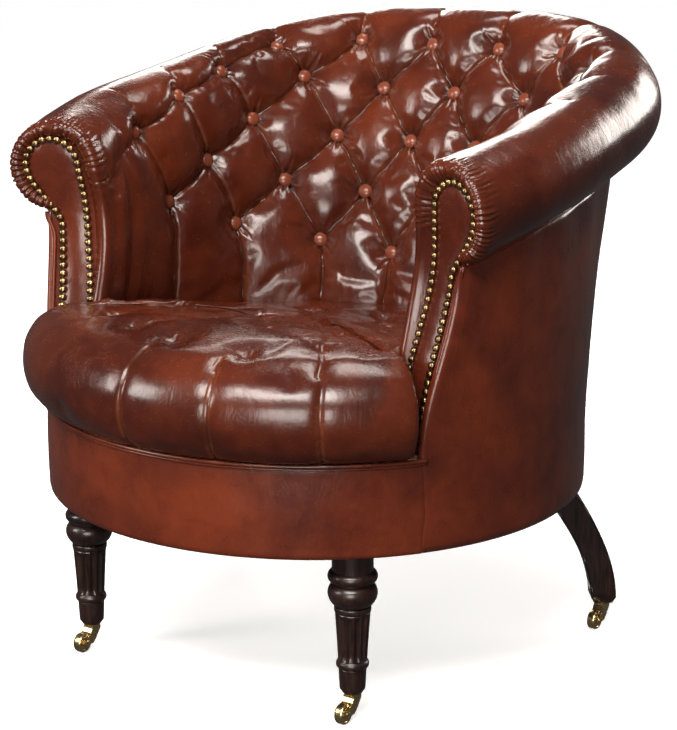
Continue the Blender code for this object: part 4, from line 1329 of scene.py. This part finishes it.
print("facings and nails")
nail = nailShape()
for sideName, side in (("left", -1), ("right", 1)):
    armFacing(sideName, side)
    nailRow(sideName, side, nail)
bpy.data.meshes.remove(nail)


# The drum's front apron with its double piping, and the outer cover round the back.

apronLook = {"start": 123.9, "seam": -2.6, "top": 0.3285, "thick": 0.0042, "wave": 0.0011}
pipingLook = ((0.3512, 0.3325, 0.0026), (0.3500, 0.3285, 0.0017))


def apron():
    look = apronLook
    start = math.radians(look["start"])
    angles = np.linspace(start, math.tau - start, 261)
    profile = [(0.3435, 0.2174), (0.3466, 0.2181), (0.3484, 0.2203), (0.3491, 0.2240)]
    profile += [(0.3492 + 0.0009 * math.sin(math.pi * f), 0.228 + 0.098 * f) for f in np.linspace(0, 1, 20)]
    profile += [(0.3488, look["top"])]
    profile = np.array(profile)
    angle, radius = np.meshgrid(angles, profile[:, 0])
    z = np.repeat(profile[:, 1][:, None], len(angles), 1)
    p = drumPoint(radius, angle, z)
    lift = look["wave"] * wrinkle(p, 7.0, 2, 3.0) + 0.0004 * wrinkle(p, 26.0, 3, 5.0)
    seam = math.pi - math.radians(look["seam"])
    off = (angle - seam) * plan["drumRadius"]
    lift -= 0.0016 * np.exp(-np.abs(off) / 0.0013)
    lift += 0.0006 * np.exp(-((off - 0.004) / 0.003) ** 2)
    lift *= smooth((z - 0.2174) / 0.012)
    edge = np.minimum(angle - start, math.tau - start - angle) * plan["drumRadius"]
    lift -= 0.0018 * (1 - smooth(edge / 0.006))
    bm = gridMesh(len(angles) - 1, len(profile) - 1)
    setPoints(bm, drumPoint(radius + lift, angle, z))
    bmesh.ops.recalc_face_normals(bm, faces=bm.faces)
    piece = toPiece("apron", bm, coverLeather, stands=("front_apron",))
    faceOut(piece)
    addModifier(piece, "SOLIDIFY", thickness=look["thick"], offset=-1)


def faceOut(piece):
    # turns an open skin so that its faces look away from the drum's axis
    mesh = piece.data
    points, normals = readPoints(mesh), readNormals(mesh)
    away = points - np.array((0, plan["drumY"], 0))
    away[:, 2] = 0
    if np.sum(away * normals) < 0:
        mesh.flip_normals()


def piping():
    start = math.radians(apronLook["start"])
    angles = np.linspace(start, math.tau - start, 150)
    bm = bmesh.new()
    for radius, height, size in pipingLook:
        joinInto(bm, tube(drumPoint(radius, angles, height), size, 12))
    toPiece("seatPiping", bm, pipingLeather, stands=("seat_welt",))


outerLook = {"thick": 0.0042, "columns": 330, "seams": (-2.0, 2.0), "lift": 0.0004, "foldFrom": 0.90}


def outerCover():
    look = outerLook
    # its front edges fold round on to the facings: how far in and ahead
    wrap = np.array(((0.0104, 0.0030), (0.0088, 0.0056), (0.0062, 0.0062), (0.0034, 0.0054), (0.0013, 0.0030)))
    t = np.linspace(-plan["armEnd"] + 0.001, plan["armEnd"] - 0.001, look["columns"] + 1)
    inward = np.concatenate([wrap[:, 0], 0 * t, wrap[::-1, 0]])
    ahead = np.concatenate([wrap[:, 1], 0 * t, wrap[::-1, 1]])
    t = np.concatenate([[t[0]] * len(wrap), t, [t[-1]] * len(wrap)])
    rows = np.concatenate([[0.0, 0.004, 0.012, 0.03], np.linspace(0.06, 1, 44)])
    tHere, share = np.meshgrid(t, rows)
    _, top = outerW(tHere, np.full_like(tHere, 0.5))
    foot = plan["drumBottom"] + look["lift"]
    z = foot + (top - 0.0012 - foot) * share
    w, _ = outerW(tHere, z)
    under = 0.0052 * (1 - smooth((z - plan["drumBottom"]) / 0.007))
    fold = inward * (1 - smooth((share - look["foldFrom"]) / (1 - look["foldFrom"])))
    p = sectionPoint(tHere, w - under - fold, z, ahead)
    lift = 0.0016 * wrinkle(p, 5.0, 2, 6.0) + 0.0005 * wrinkle(p, 22.0, 3, 7.0)
    # the leather is drawn a little between the roll and the drum
    drawn = smooth((share - 0.55) / 0.4) * (1 - smooth((share - 0.97) / 0.03))
    lift += 0.0010 * np.sin(tHere * 9.0 + 2.0 * wrinkle(p, 3.0, 1, 1.0)) * drawn
    for seam in look["seams"]:
        off = (tHere - seam) * 0.17
        lift -= 0.0018 * np.exp(-np.abs(off) / 0.0013)
        for stitchSide in (-1, 1):
            lift += 0.0007 * np.exp(-((off - stitchSide * 0.004) / 0.0025) ** 2)
    lift *= np.where(ahead > 0, 0.0, smooth((plan["armEnd"] - np.abs(tHere)) * 0.13 / 0.01))
    lift *= smooth(share / 0.03)
    lift -= 0.0008 * smooth((share - 0.96) / 0.04)
    bm = gridMesh(len(t) - 1, len(rows) - 1)
    setPoints(bm, sectionPoint(tHere, w - under - fold + lift, z, ahead))
    bmesh.ops.recalc_face_normals(bm, faces=bm.faces)
    piece = toPiece("outerCover", bm, coverLeather,
                    stands=("left_outer_panel", "right_outer_panel", "outer_back_panel"))
    faceOut(piece)
    addModifier(piece, "SOLIDIFY", thickness=look["thick"], offset=-1)
    # piping where the cover meets the roll, and down its front edges
    bm = bmesh.new()
    t = np.linspace(-plan["armEnd"] + 0.02, plan["armEnd"] - 0.02, 220)
    _, top = outerW(t, np.full_like(t, 0.5))
    joinInto(bm, tube(sectionPoint(t, readStations(t)[6] + 0.0008, top - 0.0006), 0.0019))
    highest = float(top[0])
    for side in (-1, 1):
        z = np.linspace(plan["drumBottom"] + 0.002, highest - 0.004, 80)
        w, _ = outerW(np.full_like(z, side * plan["armEnd"]), z)
        up = (z - z[0]) / (highest - z[0])
        fold = 0.0100 * (1 - smooth((up - look["foldFrom"]) / (1 - look["foldFrom"])))
        joinInto(bm, tube(sectionPoint(side * plan["armEnd"], w - fold, z, 0.0036), 0.0016))
    toPiece("outerPiping", bm, pipingLeather)


print("apron and outer cover")
apron()
piping()
outerCover()


# Turned front legs, sabre rear legs and the castors' wheels.

frontLegLook = {
    "place": (0.205, -0.222),
    "flutes": 14,
    "fluteDepth": 0.0030,
    "fluteFrom": 0.0785,
    "fluteTo": 0.1360,
    "profile": (
        (0.0004, 0.0340), (0.0112, 0.0340), (0.0122, 0.0346), (0.0152, 0.0398), (0.0158, 0.0412),
        (0.0168, 0.0630), (0.0170, 0.0652), (0.0166, 0.0660), (0.0178, 0.0668), (0.0194, 0.0684),
        (0.0200, 0.0704), (0.0200, 0.0724), (0.0194, 0.0744), (0.0182, 0.0756), (0.0176, 0.0766),
        (0.0178, 0.0776), (0.0183, 0.0850), (0.0188, 0.0950), (0.0196, 0.1080), (0.0205, 0.1210),
        (0.0213, 0.1330), (0.0215, 0.1364), (0.0209, 0.1374), (0.0219, 0.1384), (0.0224, 0.1398),
        (0.0224, 0.1432), (0.0219, 0.1446), (0.0206, 0.1452), (0.0232, 0.1472), (0.0262, 0.1505),
        (0.0286, 0.1548), (0.0300, 0.1600), (0.0299, 0.1645), (0.0284, 0.1690), (0.0258, 0.1722),
        (0.0236, 0.1736), (0.0242, 0.1746), (0.0272, 0.1762), (0.0294, 0.1790), (0.0302, 0.1822),
        (0.0296, 0.1858), (0.0276, 0.1886), (0.0256, 0.1900), (0.0250, 0.1915), (0.0250, 0.2190),
        (0.0004, 0.2190)),
}


def finer(points, pieces):
    # a smooth run through the profile's points
    p = np.array(points)
    p = np.vstack([2 * p[0] - p[1], p, 2 * p[-1] - p[-2]])
    found = []
    for i in range(1, len(p) - 2):
        a, b, c, d = p[i - 1], p[i], p[i + 1], p[i + 2]
        for t in np.arange(pieces) / pieces:
            found.append(0.5 * (2 * b + (c - a) * t + (2 * a - 5 * b + 4 * c - d) * t * t
                                + (3 * b - a - 3 * c + d) * t**3))
    return np.array(found + [p[-2]])


def spun(profile, steps):
    # turns a line of (radius, height) points about Z
    bm = bmesh.new()
    verts = [bm.verts.new((radius, 0, height)) for radius, height in profile]
    edges = [bm.edges.new(pair) for pair in zip(verts[:-1], verts[1:])]
    bmesh.ops.spin(bm, geom=verts + edges, cent=(0, 0, 0), axis=(0, 0, 1), angle=math.tau, steps=steps,
                   use_merge=True)
    bmesh.ops.remove_doubles(bm, verts=bm.verts, dist=1e-6)
    return bm


def frontLeg(name, side, stands):
    look = frontLegLook
    bottom, *turned, top = look["profile"]
    turned = finer(turned, 2)
    turned[:, 0] = np.maximum(turned[:, 0], bottom[0])
    bm = spun([bottom, *(tuple(point) for point in turned), top], look["flutes"] * 10)
    low, high = look["fluteFrom"], look["fluteTo"]
    for v in bm.verts:
        z = v.co.z
        if low < z < high:
            a = math.atan2(v.co.y, v.co.x)
            x = (look["flutes"] * a / math.tau) % 1.0 - 0.5
            inside = max(1 - (x / 0.41) ** 2, 0.0)
            ends = min((z - low) / 0.004, (high - z) / 0.004, 1.0)
            r = math.hypot(v.co.x, v.co.y)
            k = (r - look["fluteDepth"] * math.sqrt(inside) * math.sqrt(max(ends, 0))) / r
            v.co.x *= k
            v.co.y *= k
    closeHoles(bm)
    x, y = look["place"]
    bmesh.ops.translate(bm, vec=(side * x, y + plan["drumY"], 0), verts=bm.verts)
    toPiece(name, bm, legWood, stands=stands, angle=38)


rearLegLook = {"angle": 53.7, "head": 0.300, "flare": 0.083, "top": 0.2190, "foot": 0.0342, "half": 0.0183}


def rearLeg(name, side, stands):
    look = rearLegLook
    bm = bmesh.new()
    bmesh.ops.create_grid(bm, x_segments=1, y_segments=1, size=look["half"])
    rows = np.concatenate([np.linspace(0, 0.955, 26), [0.985, 1.0]])
    face = list(bm.faces)[0]
    rings = [list(bm.verts)]
    for _ in rows[1:]:
        made = bmesh.ops.extrude_face_region(bm, geom=[face])
        face = [g for g in made["geom"] if isinstance(g, bmesh.types.BMFace)][0]
        rings.append(list(face.verts))
    tall = look["top"] - look["foot"]
    for fall, ring in zip(rows, rings):
        slope = look["flare"] * 0.5 * math.pi * math.cos(0.5 * math.pi * fall) / tall
        half = look["half"] - 0.0015 * fall
        if fall > 0.96:
            half -= (fall - 0.955) / 0.045 * 0.0042
        away = look["head"] + look["flare"] * math.sin(0.5 * math.pi * fall)
        for v in ring:
            sx, sy = math.copysign(1, v.co.x), math.copysign(1, v.co.y)
            v.co = (sx * half, away + sy * half * math.sqrt(1 + slope * slope), look["top"] - tall * fall)
    bmesh.ops.remove_doubles(bm, verts=bm.verts, dist=1e-6)
    bmesh.ops.recalc_face_normals(bm, faces=bm.faces)
    long = [e for e in bm.edges if len(e.link_faces) == 2 and e.calc_face_angle(0) > 0.6
            and abs(e.verts[0].co.z - e.verts[1].co.z) > 1e-4]
    bmesh.ops.bevel(bm, geom=long, offset=0.0026, offset_type="OFFSET", affect="EDGES", segments=3,
                    profile=0.5, material=-1)
    turn = Matrix.Rotation(-side * math.radians(look["angle"]), 3, "Z")
    bmesh.ops.rotate(bm, cent=(0, 0, 0), matrix=turn, verts=bm.verts)
    bmesh.ops.translate(bm, vec=(0, plan["drumY"], 0), verts=bm.verts)
    toPiece(name, bm, legWood, stands=stands, angle=35)


wheelLook = {"radius": 0.0127, "half": 0.0055, "bore": 0.0027}


def castorWheel(name, body, node):
    look = wheelLook
    low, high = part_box(node)
    centre = (low + high) / 2
    r, h, b = look["radius"], look["half"], look["bore"]
    profile = ((b, -h), (b + 0.0022, -h), (b + 0.0028, -h + 0.0006), (r - 0.0040, -h + 0.0006), (r - 0.0034, -h),
               (r - 0.0012, -h), (r - 0.0003, -h + 0.0010), (r, -h + 0.0024), (r, h - 0.0024),
               (r - 0.0003, h - 0.0010), (r - 0.0012, h), (r - 0.0034, h), (r - 0.0040, h - 0.0006),
               (b + 0.0028, h - 0.0006), (b + 0.0022, h), (b, h), (b, -h))
    bm = spun(profile, 56)
    bmesh.ops.rotate(bm, cent=(0, 0, 0), matrix=Matrix.Rotation(math.pi / 2, 3, "Y"), verts=bm.verts)
    bmesh.ops.translate(bm, vec=centre, verts=bm.verts)
    bmesh.ops.recalc_face_normals(bm, faces=bm.faces)
    toPiece(name, bm, castorBrass, body=body, stands=(node,), angle=40)


print("legs and castors")
for sideName, side in (("left", -1), ("right", 1)):
    frontLeg(f"{sideName}FrontLeg", side, (f"{sideName}_front_leg",))
    rearLeg(f"{sideName}RearLeg", side, (f"{sideName}_rear_leg",))
    for end in ("front", "rear"):
        where = f"{sideName}_{end}"
        castorWheel(f"{sideName}{end.title()}Wheel", f"{where}_wheel", f"{where}_castor_wheel")


# The frame's own pieces keep their shapes and get their finishes.

finishes = {
    "frame_wood": plainWood,
    "castor_brass": castorBrass,
    "lining_cloth": liningCloth,
    "jute_webbing": jute,
    "spring_steel": springSteel,
    "show_wood": legWood,
    "tufted_leather": tuftedLeather,
    "cover_leather": coverLeather,
    "seat_leather": seatLeather,
    "piping_leather": pipingLeather,
    "nail_brass": nailBrass,
}


def finishFrame():
    for part in frame["record"]["subparts"]:
        node = nodes[part["node"]]
        for holder in node.material_slots:
            holder.material = finishes[part["material_slot"]]


print("frame finishes")
finishFrame()


# Stage


cameraLook = {"lens": 106.4, "place": (1.550, -2.283, 1.059), "aim": (0.028, -0.038, 0.366)}


def aimed(name, data, place, aim):
    # a camera or a lamp at a place, looking at another
    holder = placed(name, data)
    holder.location = place
    way = Vector(aim) - holder.location
    holder.rotation_euler = way.to_track_quat("-Z", "Y").to_euler()
    return holder


def camera():
    data = bpy.data.cameras.new("camera")
    data.lens = cameraLook["lens"]
    bpy.context.scene.camera = aimed("camera", data, cameraLook["place"], cameraLook["aim"])


lights = {  # place, width, depth, power
    "key": ((0.7, -2.0, 2.4), 1.8, 0.7, 86),
    "front": ((1.3, -2.9, 0.8), 1.3, 1.0, 44),
    "left": ((-1.7, -2.3, 1.5), 0.8, 1.1, 36),
    "top": ((0.1, 0.5, 2.8), 1.1, 0.6, 22),
    "back": ((-1.8, 2.5, 1.8), 1.4, 1.0, 34),
    "rear": ((1.0, 3.1, 1.5), 1.6, 1.2, 52),
}
lampColour = (1.0, 0.935, 0.87)
lampAim = (0, 0, 0.45)
sunLook = {"turn": (0.28, -0.16, 0.0), "power": 1.55, "angle": 0.75}
skyStrength = 0.07
floorLook = {"half": 40, "light": 0.52, "tones": (rgb(0.90, 0.90, 0.90), rgb(0.93, 0.93, 0.93))}
backdropLook = {"radius": 39, "light": 1.0}


def studio():
    for name, (place, width, depth, power) in lights.items():
        data = bpy.data.lights.new(name, "AREA")
        data.shape = "RECTANGLE"
        data.size, data.size_y, data.energy = width, depth, power
        data.color = lampColour
        aimed(name, data, place, lampAim)
    world = bpy.data.worlds.new("studio")
    world.use_nodes = True
    sky = world.node_tree.nodes["Background"]
    sky.inputs["Color"].default_value = (1, 1, 1, 1)
    sky.inputs["Strength"].default_value = skyStrength
    data = bpy.data.lights.new("sun", "SUN")
    data.energy, data.angle = sunLook["power"], sunLook["angle"]
    holder = placed("sun", data)
    holder.rotation_euler = sunLook["turn"]
    holder.visible_glossy = False  # it lights the paper, and the lamps make the highlights
    bpy.context.scene.world = world
    bpy.context.scene.view_settings.view_transform = "Standard"


def floor():
    bm = bmesh.new()
    bmesh.ops.create_grid(bm, x_segments=8, y_segments=8, size=floorLook["half"])
    mesh = toMesh("floor", bm)
    piece = placed("floor", mesh)
    piece.visible_glossy = False  # the paper neither tints the leather nor shows in it
    piece.visible_diffuse = False
    f = Finish("floorPaper", Specular_IOR_Level=0.2, Emission_Color=(1, 1, 1, 1),
               Emission_Strength=floorLook["light"])
    tone = f.blendColour(f.cloud(f.place(), 3.0, 2.0), *floorLook["tones"])
    mesh.materials.append(f.into(Base_Color=tone, Roughness=0.75))


def backdrop():
    # a white room far off, seen by the camera alone
    bm = bmesh.new()
    bmesh.ops.create_uvsphere(bm, u_segments=32, v_segments=16, radius=backdropLook["radius"])
    mesh = toMesh("backdrop", bm)
    piece = placed("backdrop", mesh)
    piece.visible_glossy = piece.visible_diffuse = piece.visible_shadow = piece.visible_transmission = False
    f = Finish("backdropPaper", Emission_Color=(1, 1, 1, 1), Emission_Strength=backdropLook["light"])
    mesh.materials.append(f.into(Base_Color=rgb(0, 0, 0), Roughness=1.0))


print("stage")
camera()
studio()
floor()
backdrop()
